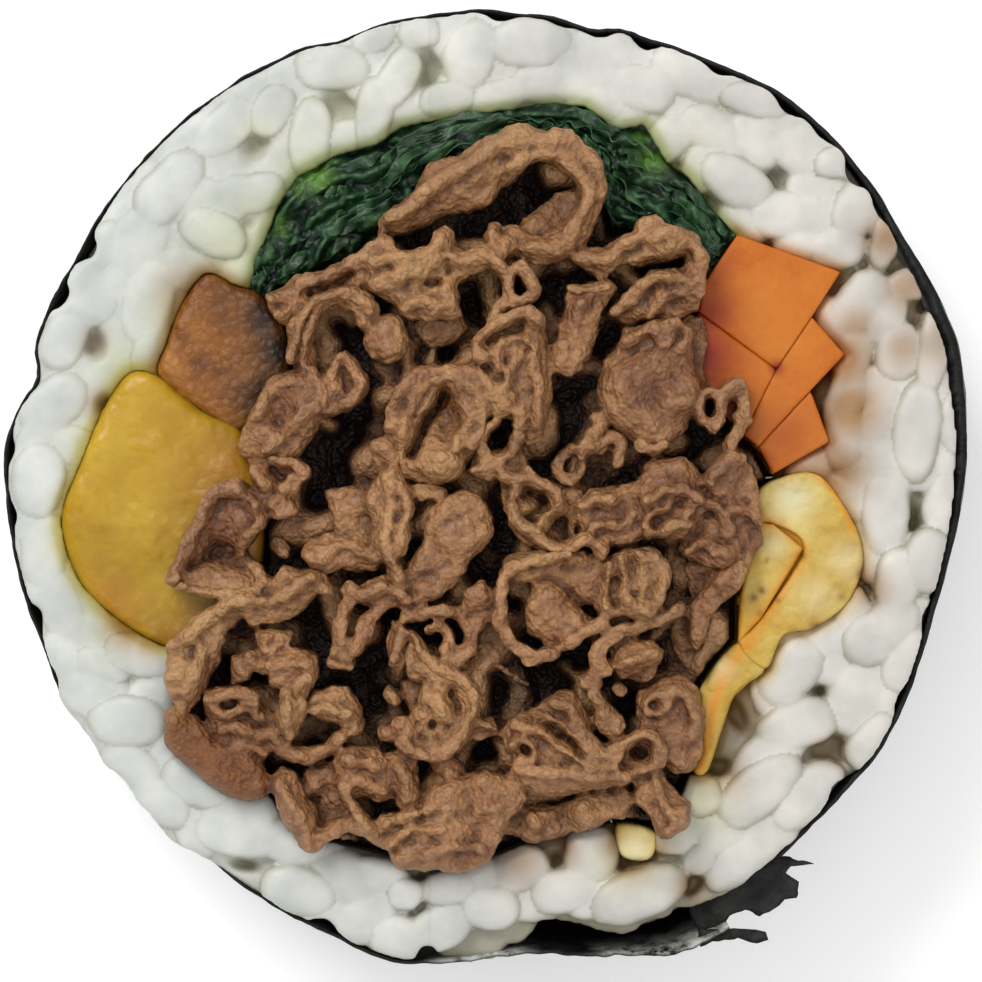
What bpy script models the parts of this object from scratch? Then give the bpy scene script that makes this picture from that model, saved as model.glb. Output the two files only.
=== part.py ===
"""A slice of bulgogi kimbap, lying on its cut face, in metres with +Z up.

A sheet of seaweed is wound once round a ring of pressed rice, and its torn end stands off at the
lower right. Pickled radish, braised burdock, spinach, four carrot sticks, egg strips and thin
slices of marinated beef run through the roll from face to face. The beef is heaped over the cut.

Plan points are pixels of the photograph, which looks straight down on the cut face. plan() turns
one into metres from the middle of the slice. Heights, thicknesses and widths are in millimetres.
"""
import math
import random

import bmesh
import bpy
from mathutils import Matrix, Vector

MM = 0.001
PIXEL = 0.066 * MM
PLAN_CENTRE = (489, 488)

SLICE_HEIGHT = 18.0 * MM
GAP = 0.3 * MM
SHARE_OF_GAP = 0.15 * MM

NORI_THICKNESS = 0.35 * MM
NORI_FOOT = 0.5 * MM
NORI_TOP = 17.7 * MM
BELLY = 0.35 * MM
BELLY_EXTRA = 0.55 * MM
BELLY_SIDE = math.radians(8)

RICE_CORE_TOP = 16.9 * MM
GRAIN_THICKNESS = 3.2 * MM
GRAIN_MIDDLE = 17.2 * MM
GRAIN_CREST = 18.9 * MM
GRAIN_LENGTH = 5.8 * MM
GRAIN_WIDTH = 3.3 * MM
LOOSE_GRAINS = 44

BEEF_CORE_TOP = 16.4 * MM
BEEF_WIDENING = 1.2
BEEF_THICKENING = 1.45
TABLE_OVER_NEIGHBOURS = 19.4 * MM

# The seaweed's path, anticlockwise from its hidden inner end at the foot of the picture.
INNER_TURN = [
    (440, 938), (495, 925), (545, 917), (610, 934), (650, 926), (690, 904), (730, 893), (770, 869),
]
ROUND_THE_ROLL = [
    (797, 846), (822, 820), (850, 791), (880, 760), (905, 718), (922, 676), (940, 618), (955, 570),
    (967, 525), (974, 475), (976, 435), (974, 392), (967, 342), (950, 300), (930, 265), (900, 218),
    (880, 183), (858, 158), (840, 135), (812, 112), (785, 90), (760, 78), (720, 62), (690, 49),
    (666, 40), (640, 36), (622, 23), (600, 30), (582, 24), (555, 15), (520, 12), (480, 8),
    (440, 13), (400, 18), (378, 22), (352, 33), (338, 42), (305, 45), (280, 57), (240, 77),
    (200, 105), (160, 140), (125, 178), (100, 213), (75, 258), (50, 300), (38, 330), (31, 352),
    (41, 378), (18, 402), (6, 432), (2, 465), (6, 505), (12, 550), (28, 610), (45, 655),
    (58, 705), (78, 728), (94, 744), (98, 766), (127, 781), (130, 798), (155, 822), (165, 842),
    (205, 860), (240, 886), (280, 912), (340, 940), (372, 957), (402, 967),
]
LOOSE_END = [
    (440, 964), (470, 962), (500, 958), (530, 954), (560, 955), (600, 958), (640, 957), (680, 953),
    (706, 944), (730, 928),
]

# Corners that neighbouring fillings share, so that each pair of edges runs side by side.
FILLINGS = {
    "pickled_radish": [
        (129, 373), (103, 411), (79, 468), (62, 516), (72, 566), (98, 603), (149, 640), (184, 645),
        (240, 600), (262, 560), (262, 500), (243, 432), (201, 411), (158, 376),
    ],
    "braised_burdock": [
        (207, 272), (184, 298), (165, 345), (158, 376), (201, 411), (243, 432), (285, 400),
        (290, 340), (262, 296), (235, 284),
    ],
    "carrot_upper": [(736, 236), (703, 284), (697, 313), (775, 370), (810, 318), (839, 273)],
    "carrot_left": [(697, 313), (700, 391), (742, 435), (775, 370)],
    "carrot_right": [(775, 370), (742, 435), (757, 447), (809, 391), (843, 355), (810, 318)],
    "carrot_lower": [(757, 447), (772, 474), (828, 442), (809, 391)],
    "egg_outer": [
        (756, 494), (757, 522), (772, 524), (802, 548), (760, 617), (737, 642), (764, 668),
        (782, 634), (812, 627), (849, 598), (862, 550), (837, 497), (812, 473), (776, 479),
    ],
    "egg_inner": [(757, 522), (743, 571), (738, 600), (737, 642), (760, 617), (802, 548), (772, 524)],
    "egg_lower": [
        (737, 642), (702, 683), (697, 711), (700, 748), (692, 770), (708, 768), (732, 697),
        (764, 668),
    ],
    "egg_scrap": [(617, 823), (621, 855), (650, 858), (654, 831)],
}
BEEF_OUTLINE = [
    (262, 296), (290, 340), (285, 400), (243, 432), (262, 500), (262, 560), (240, 600), (184, 645),
    (176, 690), (172, 745), (200, 768), (240, 793), (270, 795), (290, 830), (345, 846), (410, 862),
    (470, 866), (540, 838), (617, 823), (654, 831), (680, 800), (692, 770), (700, 748), (697, 711),
    (702, 683), (737, 642), (738, 600), (743, 571), (757, 522), (756, 494), (776, 479), (772, 474),
    (757, 447), (742, 435), (700, 391), (697, 313), (703, 284), (690, 242), (650, 232), (612, 225),
    (600, 180), (565, 150), (520, 142), (470, 160), (410, 205), (385, 240), (345, 262), (300, 276),
]
SPINACH_OUTER = [
    (250, 290), (257, 262), (277, 207), (297, 177), (337, 155), (377, 145), (399, 127), (469, 115),
    (511, 110), (553, 105), (586, 107), (615, 130), (644, 124), (667, 163), (687, 176), (716, 215),
    (734, 234),
]
SPINACH_INNER = [
    (262, 296), (300, 276), (345, 262), (385, 240), (410, 205), (470, 160), (520, 142), (565, 150),
    (600, 180), (612, 225), (650, 232), (690, 242), (703, 284),
]

# Tops of the cut sticks and strips, and how far their upper edges are rounded.
FILLING_TOPS = {
    "pickled_radish": (18.0, 0.7),
    "braised_burdock": (17.8, 0.7),
    "carrot_upper": (18.7, 0.3),
    "carrot_left": (18.2, 0.3),
    "carrot_right": (18.4, 0.3),
    "carrot_lower": (17.9, 0.3),
    "egg_outer": (18.5, 0.7),
    "egg_inner": (18.9, 0.5),
    "egg_lower": (18.3, 0.5),
    "egg_scrap": (18.0, 0.4),
}

# Beef slices: width and thickness, roll about the middle line at its two ends in degrees, and
# the middle line as pixel, pixel and height. A roll of 90 stands the slice on edge.
BEEF_SLICES = {
    "crown_band": (5.2, 1.8, -42, -70, [
        (384, 232, 19.8), (420, 203, 20.0), (462, 178, 20.4), (505, 156, 20.8), (548, 150, 20.8),
        (581, 168, 20.6), (589, 203, 20.2), (570, 236, 19.9), (532, 248, 19.8), (499, 240, 19.8)]),
    "crown_lobe": (2.4, 1.9, -20, -20, [(497, 230, 20.6), (512, 248, 20.4), (552, 250, 20.2)]),
    "north_wall": (3.0, 1.4, -62, -62, [
        (268, 303, 19.6), (300, 283, 20.0), (335, 270, 20.0), (362, 257, 20.0), (386, 249, 20.0)]),
    "north_fold": (2.2, 1.3, -25, -25, [(312, 297, 19.2), (345, 281, 19.6), (380, 277, 19.8)]),
    "west_arch": (3.6, 1.5, -78, -78, [
        (308, 370, 19.2), (299, 340, 19.8), (311, 310, 20.1), (335, 294, 20.1), (362, 302, 19.8),
        (377, 324, 19.4)]),
    "star_sheet": (4.6, 1.8, 12, -10, [(378, 290, 20.2), (410, 284, 21.0), (458, 300, 20.4)]),
    "star_lobe": (3.6, 1.8, -12, 8, [(428, 264, 20.8), (422, 290, 21.2), (425, 320, 20.6)]),
    "star_tip": (1.7, 1.5, 0, 0, [(446, 234, 20.4), (450, 262, 21.0)]),
    "star_arm": (1.6, 1.5, 0, 0, [(448, 268, 21.0), (488, 253, 20.6)]),
    "west_bulb": (3.0, 2.6, 0, 0, [(391, 324, 19.4), (388, 362, 19.2)]),
    "west_sheet": (4.8, 1.6, 20, 20, [(312, 380, 20.0), (290, 410, 20.4), (266, 446, 20.0)]),
    "west_loop": (2.2, 1.6, -40, -40, [(348, 360, 19.6), (357, 386, 19.8), (322, 404, 20.0)]),
    "swirl_outer": (4.0, 1.7, -68, -68, [
        (397, 452, 20.2), (392, 414, 21.0), (412, 383, 21.4), (450, 371, 21.6), (482, 388, 21.4),
        (488, 428, 20.8)]),
    "swirl_inner": (3.0, 1.1, -76, -76, [
        (414, 446, 20.2), (428, 408, 21.0), (452, 392, 21.2), (470, 410, 21.2), (464, 448, 20.6)]),
    "swirl_lobe": (2.6, 1.8, 8, -8, [(402, 462, 20.6), (432, 464, 21.2), (464, 462, 20.6)]),
    "upright_roll": (4.2, 3.4, 0, 0, [
        (514, 328, 20.6), (520, 362, 21.2), (529, 402, 21.0), (532, 438, 19.8)]),
    "upright_rim": (2.8, 1.2, -74, -74, [
        (482, 366, 20.8), (480, 340, 21.6), (502, 322, 22.0), (536, 324, 21.8)]),
    "thread_left": (1.9, 0.9, 78, 78, [(490, 258, 20.8), (504, 278, 21.0), (510, 302, 21.0)]),
    "thread_right": (1.8, 1.0, 60, 60, [
        (523, 274, 20.8), (534, 297, 21.0), (516, 308, 21.2), (494, 314, 21.2)]),
    "arch": (3.4, 1.5, -58, -66, [
        (579, 260, 20.0), (606, 262, 20.4), (636, 244, 20.8), (663, 237, 21.0), (688, 247, 20.8),
        (699, 273, 20.4), (693, 306, 19.8)]),
    "arch_sheet": (3.2, 1.4, -22, -22, [(606, 317, 19.4), (637, 299, 20.0), (684, 294, 20.2)]),
    "flat_strip": (1.9, 1.4, 0, 0, [(604, 290, 20.2), (586, 318, 20.8), (576, 346, 21.0), (555, 367, 20.4)]),
    "north_lump": (5.6, 4.4, 0, 0, [(652, 344, 20.2), (643, 378, 21.0), (642, 412, 21.0), (648, 440, 19.8)]),
    "crumb_chain": (1.7, 1.5, 0, 0, [(565, 464, 19.8), (580, 446, 20.0), (597, 430, 20.0)]),
    "crumb_post": (1.7, 1.6, 0, 0, [(618, 432, 20.0), (614, 464, 20.0)]),
    "ruffle_left": (1.9, 1.1, 50, 50, [(702, 432, 19.6), (702, 404, 20.0), (720, 394, 20.2)]),
    "ruffle_right": (1.6, 1.1, 60, 60, [(738, 386, 20.2), (727, 414, 20.4), (724, 448, 20.0)]),
    "east_slab": (2.7, 1.9, 15, 15, [(732, 458, 19.6), (740, 496, 20.0), (740, 552, 19.6)]),
    "rosette": (4.9, 3.2, 0, 0, [(662, 466, 20.8), (667, 498, 21.4), (663, 534, 20.6)]),
    "east_lump": (3.2, 2.4, 0, 0, [(709, 482, 19.8), (705, 516, 20.2), (708, 556, 20.0)]),
    "triangle": (2.7, 1.6, -24, -24, [(732, 568, 19.8), (708, 602, 20.0), (692, 642, 19.4)]),
    "ring_wall": (3.2, 1.0, -78, -78, [
        (568, 546, 20.8), (526, 555, 21.2), (500, 585, 21.4), (502, 622, 21.2), (520, 646, 20.8),
        (541, 652, 20.2)]),
    "ring_heart": (5.0, 2.8, 0, 0, [(556, 566, 20.0), (562, 602, 20.8), (572, 634, 20.2)]),
    "petal": (3.0, 1.5, 14, 14, [(606, 566, 20.8), (631, 581, 21.4), (652, 604, 20.8)]),
    "lower_strip": (1.6, 1.3, 20, 20, [(672, 613, 20.6), (640, 624, 21.0), (610, 638, 21.0), (602, 664, 20.2)]),
    "lower_sheet": (2.5, 1.4, 0, 0, [(656, 648, 19.6), (628, 662, 20.0), (606, 676, 19.8)]),
    "thread_ring": (1.8, 0.9, -74, -74, [
        (556, 488, 20.8), (530, 479, 21.2), (512, 498, 21.4), (519, 522, 21.4), (546, 540, 21.4),
        (588, 537, 21.0)]),
    "long_wall": (3.4, 1.6, -66, -66, [
        (391, 462, 20.6), (393, 505, 21.2), (388, 542, 21.2), (394, 578, 20.6)]),
    "wall_foot": (2.0, 1.7, 0, 0, [(362, 592, 20.0), (395, 592, 20.6), (428, 596, 20.2)]),
    "leaf": (4.0, 1.5, 12, 12, [(474, 504, 21.2), (456, 540, 21.6), (418, 590, 20.8)]),
    "cross_strip": (2.1, 1.5, -14, -14, [(313, 557, 20.0), (345, 547, 20.4), (382, 560, 20.4)]),
    "grainy_spot": (2.8, 1.6, 0, 0, [(338, 520, 19.2), (368, 508, 19.6)]),
    "vee_left": (2.2, 1.0, 74, 74, [(352, 588, 20.4), (344, 615, 20.4), (341, 652, 20.0)]),
    "vee_right": (1.9, 1.0, 60, 60, [(377, 602, 20.2), (358, 632, 20.4), (350, 658, 20.0)]),
    "cup_floor": (5.0, 1.4, 0, 0, [(196, 560, 20.3), (222, 548, 20.2), (250, 548, 20.2)]),
    "cup_rim": (2.3, 1.3, -56, -56, [
        (204, 588, 20.8), (181, 572, 21.0), (186, 545, 21.2), (208, 520, 21.4), (224, 493, 21.4),
        (258, 502, 21.0)]),
    "cup_lip": (2.0, 1.3, 48, 48, [(204, 588, 20.8), (236, 598, 21.0), (260, 578, 20.6)]),
    "west_crumbs": (1.6, 1.4, 0, 0, [(262, 468, 19.8), (284, 462, 20.0), (302, 470, 20.0), (288, 494, 19.8)]),
    "west_knot": (1.6, 1.4, 0, 0, [(266, 488, 19.8), (278, 510, 20.0), (294, 508, 19.8)]),
    "long_ruffle": (3.6, 1.6, -58, -58, [
        (320, 574, 20.2), (292, 584, 20.6), (262, 604, 21.0), (226, 617, 21.2), (200, 644, 21.2),
        (188, 678, 21.0), (185, 706, 20.6)]),
    "glossy_slab": (4.4, 1.5, -10, -10, [(184, 712, 20.6), (206, 738, 20.8), (258, 774, 20.6)]),
    "hollow_bit": (1.9, 1.4, 0, 0, [(262, 642, 20.2), (292, 636, 20.4)]),
    "hollow_strip": (1.5, 1.2, 0, 0, [(208, 692, 20.8), (240, 692, 21.0), (270, 702, 20.8)]),
    "hollow_sheet": (2.6, 1.3, 10, 10, [(238, 654, 20.2), (276, 664, 20.4), (312, 668, 20.0)]),
    "small_petal": (1.5, 1.1, 30, 30, [(290, 690, 20.8), (292, 715, 21.2), (298, 737, 20.8)]),
    "upper_hoop": (2.4, 1.0, -72, -72, [(311, 710, 19.8), (338, 697, 20.2), (361, 722, 20.0)]),
    "lower_hoop": (2.2, 1.2, 60, 60, [(276, 742, 19.8), (314, 757, 20.0), (346, 736, 20.0)]),
    "south_hoop": (2.6, 1.2, -70, -70, [
        (410, 619, 20.0), (448, 617, 20.4), (469, 638, 20.4), (446, 664, 20.0)]),
    "south_side": (2.0, 1.6, 40, 40, [(478, 586, 20.4), (488, 612, 20.6), (476, 642, 20.2)]),
    "crumple_band": (2.7, 1.4, -48, -48, [
        (388, 640, 20.2), (404, 662, 20.6), (438, 668, 21.0), (466, 690, 21.0), (473, 722, 20.8),
        (446, 752, 20.6), (412, 748, 20.4), (397, 722, 20.2)]),
    "crumple_bulb": (1.8, 1.8, 0, 0, [(440, 688, 21.0), (435, 714, 21.0)]),
    "crumple_tip": (1.7, 1.5, 0, 0, [(470, 724, 20.6), (498, 732, 20.2)]),
    "grainy_block": (3.2, 2.6, 0, 0, [(362, 748, 20.4), (370, 774, 20.6), (378, 798, 20.2)]),
    "grainy_post": (1.8, 1.8, 0, 0, [(402, 758, 20.2), (408, 798, 20.2)]),
    "corner_sheet": (3.0, 1.5, -18, -18, [(284, 776, 20.0), (298, 812, 20.2), (309, 846, 20.0)]),
    "south_lip": (1.8, 1.4, 0, 0, [(306, 836, 20.0), (345, 827, 20.4), (388, 832, 20.4), (414, 808, 20.2)]),
    "south_post": (1.2, 1.2, 0, 0, [(351, 784, 20.4), (362, 808, 20.6), (373, 826, 20.4)]),
    "south_slab": (5.8, 1.8, 8, 8, [(498, 786, 20.6), (468, 812, 20.8), (446, 852, 20.4)]),
    "south_roll": (5.6, 4.2, 0, 0, [
        (514, 736, 20.6), (550, 736, 21.4), (592, 748, 21.4), (638, 764, 20.6)]),
    "south_lump": (3.6, 2.6, 0, 0, [(668, 688, 19.8), (667, 724, 20.2), (674, 756, 19.8)]),
    "tail": (1.7, 1.4, 0, 0, [(638, 742, 20.6), (648, 782, 20.8), (660, 812, 20.4), (680, 806, 20.2)]),
    "bead_chain": (1.3, 1.2, 0, 0, [(584, 670, 20.2), (600, 690, 20.4), (604, 716, 20.2)]),
}

# Torn shreds that hang from the seaweed's loose end, as plan outlines with their middle height,
# and how far their far end lies above the near one.
NORI_SHREDS = {
    "wide_shred": (16.0, 1.0, [
        (700, 938), (688, 908), (715, 889), (750, 875), (781, 857), (815, 864), (793, 867),
        (786, 874), (799, 882), (797, 899), (785, 901), (775, 910), (760, 917), (745, 911),
        (731, 917), (722, 932)]),
    "narrow_shred": (16.6, 0.4, [
        (700, 948), (698, 930), (725, 929), (745, 929), (766, 932), (768, 939), (758, 944),
        (740, 938), (718, 941)]),
}

# Rice grains that show as single grains: pixel, pixel, direction in degrees, length and width.
SHOWN_GRAINS = [
    (713, 133, -22, 5.2, 3.4), (731, 181, -30, 5.4, 3.5), (752, 102, -12, 4.8, 3.0),
    (684, 74, -25, 5.6, 3.6), (806, 140, -35, 6.0, 3.8), (858, 204, -60, 5.4, 3.4),
    (834, 246, 10, 4.0, 3.6), (784, 215, 12, 5.8, 3.4), (861, 303, 62, 5.2, 3.9),
    (906, 286, 0, 2.8, 2.4), (896, 354, 75, 4.6, 3.0), (930, 352, 78, 5.6, 2.6),
    (880, 425, 60, 5.8, 3.3), (917, 428, 85, 6.8, 3.2), (953, 424, 82, 4.6, 2.4),
    (886, 512, 86, 6.6, 3.4), (943, 500, -80, 4.6, 3.0), (930, 562, 75, 4.2, 3.0),
    (893, 580, 85, 5.0, 3.0), (874, 632, 30, 5.6, 3.6), (862, 697, 74, 5.8, 3.8),
    (794, 660, 60, 5.2, 3.8), (790, 724, 20, 5.6, 3.7), (786, 770, 36, 5.6, 3.3),
    (734, 806, 38, 5.4, 3.4), (812, 796, 40, 5.6, 3.0), (748, 850, 34, 6.0, 3.0),
    (700, 794, 10, 2.8, 2.8), (698, 860, 70, 2.4, 2.4), (637, 892, 20, 6.8, 3.4),
    (568, 888, 20, 4.4, 3.2), (591, 850, 80, 3.6, 3.4), (521, 868, 30, 3.8, 3.2),
    (490, 906, 10, 4.0, 3.0), (446, 886, 8, 3.6, 2.4), (350, 868, 6, 5.6, 3.0),
    (318, 896, 16, 5.6, 3.2), (60, 612, 122, 6.0, 3.6), (88, 690, 60, 4.8, 3.8),
    (140, 656, 8, 4.8, 2.6), (62, 342, 68, 4.6, 3.6), (48, 412, 60, 4.6, 3.6),
    (38, 482, 86, 5.0, 3.6), (132, 288, 76, 6.4, 4.0), (252, 196, 15, 4.2, 2.8),
    (270, 112, 60, 4.2, 2.8), (332, 68, 5, 5.2, 3.2), (372, 40, 15, 3.0, 2.4),
    (394, 84, 84, 4.8, 3.0), (312, 132, 84, 5.4, 2.8), (448, 100, 10, 3.6, 2.2),
    (472, 48, 70, 4.4, 3.4), (530, 50, 10, 5.4, 3.4), (604, 66, -10, 5.6, 3.6),
]

FINISHES = {
    "nori": ((0.011, 0.014, 0.011), 0.45),
    "rice": ((0.78, 0.77, 0.73), 0.38),
    "pickled_radish": ((0.62, 0.40, 0.03), 0.30),
    "braised_burdock": ((0.24, 0.10, 0.03), 0.35),
    "spinach": ((0.02, 0.075, 0.02), 0.45),
    "carrot": ((0.75, 0.19, 0.02), 0.40),
    "egg": ((0.82, 0.60, 0.18), 0.50),
    "beef": ((0.25, 0.12, 0.06), 0.42),
}


def plan(pixel_x, pixel_y):
    """Turn a pixel of the photograph into metres from the middle of the slice."""
    return Vector(((pixel_x - PLAN_CENTRE[0]) * PIXEL, (PLAN_CENTRE[1] - pixel_y) * PIXEL))


def polar(points, start=None):
    """List points as angle and radius, with the angles rising past a full turn where they wind on."""
    knots = []
    for point in points:
        place = plan(*point)
        angle = math.atan2(place.y, place.x)
        last = knots[-1][0] if knots else start
        while last is not None and angle < last - math.pi:
            angle += 2 * math.pi
        knots.append((angle, place.length))
    return knots


SHEET_KNOTS = polar(INNER_TURN + ROUND_THE_ROLL + LOOSE_END)
SHEET_START = SHEET_KNOTS[0][0]
SHEET_END = SHEET_KNOTS[-1][0]
FLARE_START = SHEET_START + 2 * math.pi


def sheet_radius(angle):
    """Give the silhouette radius of the seaweed's outer face at an unwound angle."""
    for (low, low_radius), (high, high_radius) in zip(SHEET_KNOTS, SHEET_KNOTS[1:]):
        if low <= angle <= high:
            share = (angle - low) / (high - low)
            return low_radius + (high_radius - low_radius) * share
    return SHEET_KNOTS[0][1] if angle < SHEET_START else SHEET_KNOTS[-1][1]


def smooth_sheet_radius(angle):
    """Average the silhouette over a few degrees, as a sheet bends over the grains behind it."""
    reach = math.radians(1.4)
    return sum(sheet_radius(angle + step * reach) for step in (-1, 0, 1)) / 3


def innermost_layer(angle):
    """Give the radius of the seaweed layer that touches the rice, kept clear of its inner end."""
    radii = []
    for step in range(-2, 3):
        turned = SHEET_START + (angle + math.radians(2 * step) - SHEET_START) % (2 * math.pi)
        radii.append(smooth_sheet_radius(turned))
    return min(radii)


def belly(angle, height):
    """Give how far the side draws in from its silhouette at a height: the roll is a low barrel."""
    facing = max(0.0, math.cos(angle - BELLY_SIDE)) ** 3
    level = 2 * height / SLICE_HEIGHT - 1
    return (BELLY + BELLY_EXTRA * facing) * level * level


def sheet_place(angle, height):
    """Give the outer face's radius. The loose end hugs the roll below and leans out at the top."""
    radius = smooth_sheet_radius(angle) - belly(angle, height)
    if angle < FLARE_START:
        return radius
    under = smooth_sheet_radius(angle - 2 * math.pi) - belly(angle, height)
    hugging = min(radius, under + NORI_THICKNESS + 2 * GAP)
    share = max(0.0, min(1.0, (height / NORI_TOP - 0.45) / 0.55))
    blend = share * share * (3 - 2 * share)
    return hugging + (radius - hugging) * blend


def rice_limit(angle, height):
    """Give the outer radius that rice may fill at a direction and height."""
    return innermost_layer(angle) - belly(angle, height) - NORI_THICKNESS - GAP


def inset(outline, distance):
    """Draw a closed outline in by a distance, anticlockwise, with mitred corners."""
    area = sum(a.cross(b) for a, b in zip(outline, outline[1:] + outline[:1]))
    points = outline if area > 0 else outline[::-1]
    drawn = []
    for index, point in enumerate(points):
        before = (point - points[index - 1]).normalized()
        after = (points[(index + 1) % len(points)] - point).normalized()
        bisector = Vector((-before.y - after.y, before.x + after.x))
        if bisector.length < 1e-6:
            bisector = Vector((-before.y, before.x))
        bisector.normalize()
        cosine = max(0.5, bisector.dot(Vector((-before.y, before.x))))
        drawn.append(point + bisector * distance / cosine)
    return drawn


def curve_point(points, share):
    """Give the place at a share of a smooth curve through the points."""
    span = share * (len(points) - 1)
    index = min(int(span), len(points) - 2)
    t = span - index
    p1 = points[index]
    p2 = points[index + 1]
    p0 = points[index - 1] if index else p1 * 2 - p2
    p3 = points[index + 2] if index + 2 < len(points) else p2 * 2 - p1
    bend = p0 * 2 - p1 * 5 + p2 * 4 - p3
    twist = p1 * 3 - p0 - p2 * 3 + p3
    return (p1 * 2 + (p2 - p0) * t + bend * t * t + twist * t * t * t) * 0.5


def new_object(name, mesh_source, finish, parent=None):
    """Make an object from a bmesh facing outward, with its material."""
    if mesh_source.calc_volume(signed=True) < 0:
        bmesh.ops.reverse_faces(mesh_source, faces=mesh_source.faces)
    mesh = bpy.data.meshes.new(name)
    mesh_source.to_mesh(mesh)
    mesh_source.free()
    piece = bpy.data.objects.new(name, mesh)
    bpy.context.scene.collection.objects.link(piece)
    mesh.materials.append(finish)
    piece.parent = parent
    return piece


def make_finish(name, colour, roughness):
    """Make a Principled material of one colour."""
    finish = bpy.data.materials.new(name)
    finish.use_nodes = True
    shader = finish.node_tree.nodes["Principled BSDF"]
    shader.inputs["Base Color"].default_value = (*colour, 1.0)
    shader.inputs["Roughness"].default_value = roughness
    return finish


def prism(outline, bottom, top, rounding=0.0):
    """Raise a closed plan outline from bottom to top, with its upper edge rounded."""
    mesh = bmesh.new()
    base = mesh.faces.new([mesh.verts.new((point.x, point.y, bottom)) for point in outline])
    raised = bmesh.ops.extrude_face_region(mesh, geom=[base])
    upper = [item for item in raised["geom"] if isinstance(item, bmesh.types.BMVert)]
    bmesh.ops.translate(mesh, verts=upper, vec=(0, 0, top - bottom))
    bmesh.ops.recalc_face_normals(mesh, faces=mesh.faces)
    if rounding:
        rim = [edge for edge in mesh.edges if all(vert in upper for vert in edge.verts)]
        bmesh.ops.bevel(mesh, geom=rim, offset=rounding, segments=2, profile=0.5,
                        affect="EDGES", material=-1, clamp_overlap=True)
    return mesh


def ribbon(width, thickness, roll_start, roll_end, spine, sides, stations, foot=None):
    """Shape a rounded ribbon along a spine, with its underside drawn down to a foot level."""
    points = [Vector((*plan(x, y), height * MM)) for x, y, height in spine]
    mesh = bmesh.new()
    bmesh.ops.create_uvsphere(mesh, u_segments=sides, v_segments=stations, radius=1.0)
    for vert in mesh.verts:
        polar_angle = math.acos(max(-1.0, min(1.0, vert.co.z)))
        share = polar_angle / math.pi
        fullness = math.sin(polar_angle) ** 0.4
        around = math.atan2(vert.co.y, vert.co.x)
        across = math.cos(around) * fullness * width * MM / 2
        through = math.sin(around) * fullness * thickness * MM / 2
        low = curve_point(points, max(0.0, share - 0.02))
        high = curve_point(points, min(1.0, share + 0.02))
        along = (high - low).normalized()
        side = along.cross(Vector((0, 0, 1))).normalized()
        normal = side.cross(along)
        roll = math.radians(roll_start + (roll_end - roll_start) * share)
        rolled_side = side * math.cos(roll) + normal * math.sin(roll)
        rolled_normal = normal * math.cos(roll) - side * math.sin(roll)
        middle = curve_point(points, share)
        offset = rolled_side * across + rolled_normal * through
        if foot is not None and offset.z < 0:
            upright = width * MM / 2 * abs(math.sin(roll))
            lying = thickness * MM / 2 * abs(math.cos(roll))
            offset.z *= (middle.z - foot) / math.hypot(upright, lying)
        vert.co = middle + offset
    bmesh.ops.recalc_face_normals(mesh, faces=mesh.faces)
    return mesh


def ribbon_length(spine):
    """Give the plan length of a ribbon's spine in millimetres."""
    places = [plan(x, y) for x, y, _ in spine]
    return sum((b - a).length for a, b in zip(places, places[1:])) / MM


def applied(piece):
    """Replace an object's mesh by its evaluated one and clear its modifiers."""
    depsgraph = bpy.context.evaluated_depsgraph_get()
    piece.data = bpy.data.meshes.new_from_object(piece.evaluated_get(depsgraph))
    piece.modifiers.clear()


def keep_largest_body(piece):
    """Drop sealed hollows and loose scraps, which are every body but the largest."""
    mesh = bmesh.new()
    mesh.from_mesh(piece.data)
    unseen = set(mesh.faces)
    bodies = []
    while unseen:
        body = []
        front = [unseen.pop()]
        while front:
            face = front.pop()
            body.append(face)
            for edge in face.edges:
                neighbours = edge.link_faces if edge.is_manifold else ()
                for other in neighbours:
                    if other in unseen:
                        unseen.discard(other)
                        front.append(other)
        bodies.append(body)
    bodies.sort(key=len)
    for body in bodies[:-1]:
        bmesh.ops.delete(mesh, geom=body, context="FACES")
    mesh.to_mesh(piece.data)
    mesh.free()


def fuse(piece, additions, solver):
    """Join the additions to a piece with one Boolean union and remove them."""
    group = bpy.data.collections.new(piece.name + "_additions")
    for addition in additions:
        group.objects.link(addition)
    union = piece.modifiers.new("union", "BOOLEAN")
    union.operation = "UNION"
    union.operand_type = "COLLECTION"
    union.collection = group
    union.solver = solver
    applied(piece)
    for addition in additions:
        bpy.data.objects.remove(addition)
    bpy.data.collections.remove(group)
    keep_largest_body(piece)


def cut_away(piece, cutter, solver):
    """Cut a piece by a guide solid and remove the guide."""
    cutter.hide_render = True
    cutter.display_type = "WIRE"
    cut = piece.modifiers.new("cut", "BOOLEAN")
    cut.operation = "DIFFERENCE"
    cut.object = cutter
    cut.solver = solver
    applied(piece)
    bpy.data.objects.remove(cutter)
    keep_largest_body(piece)


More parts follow.
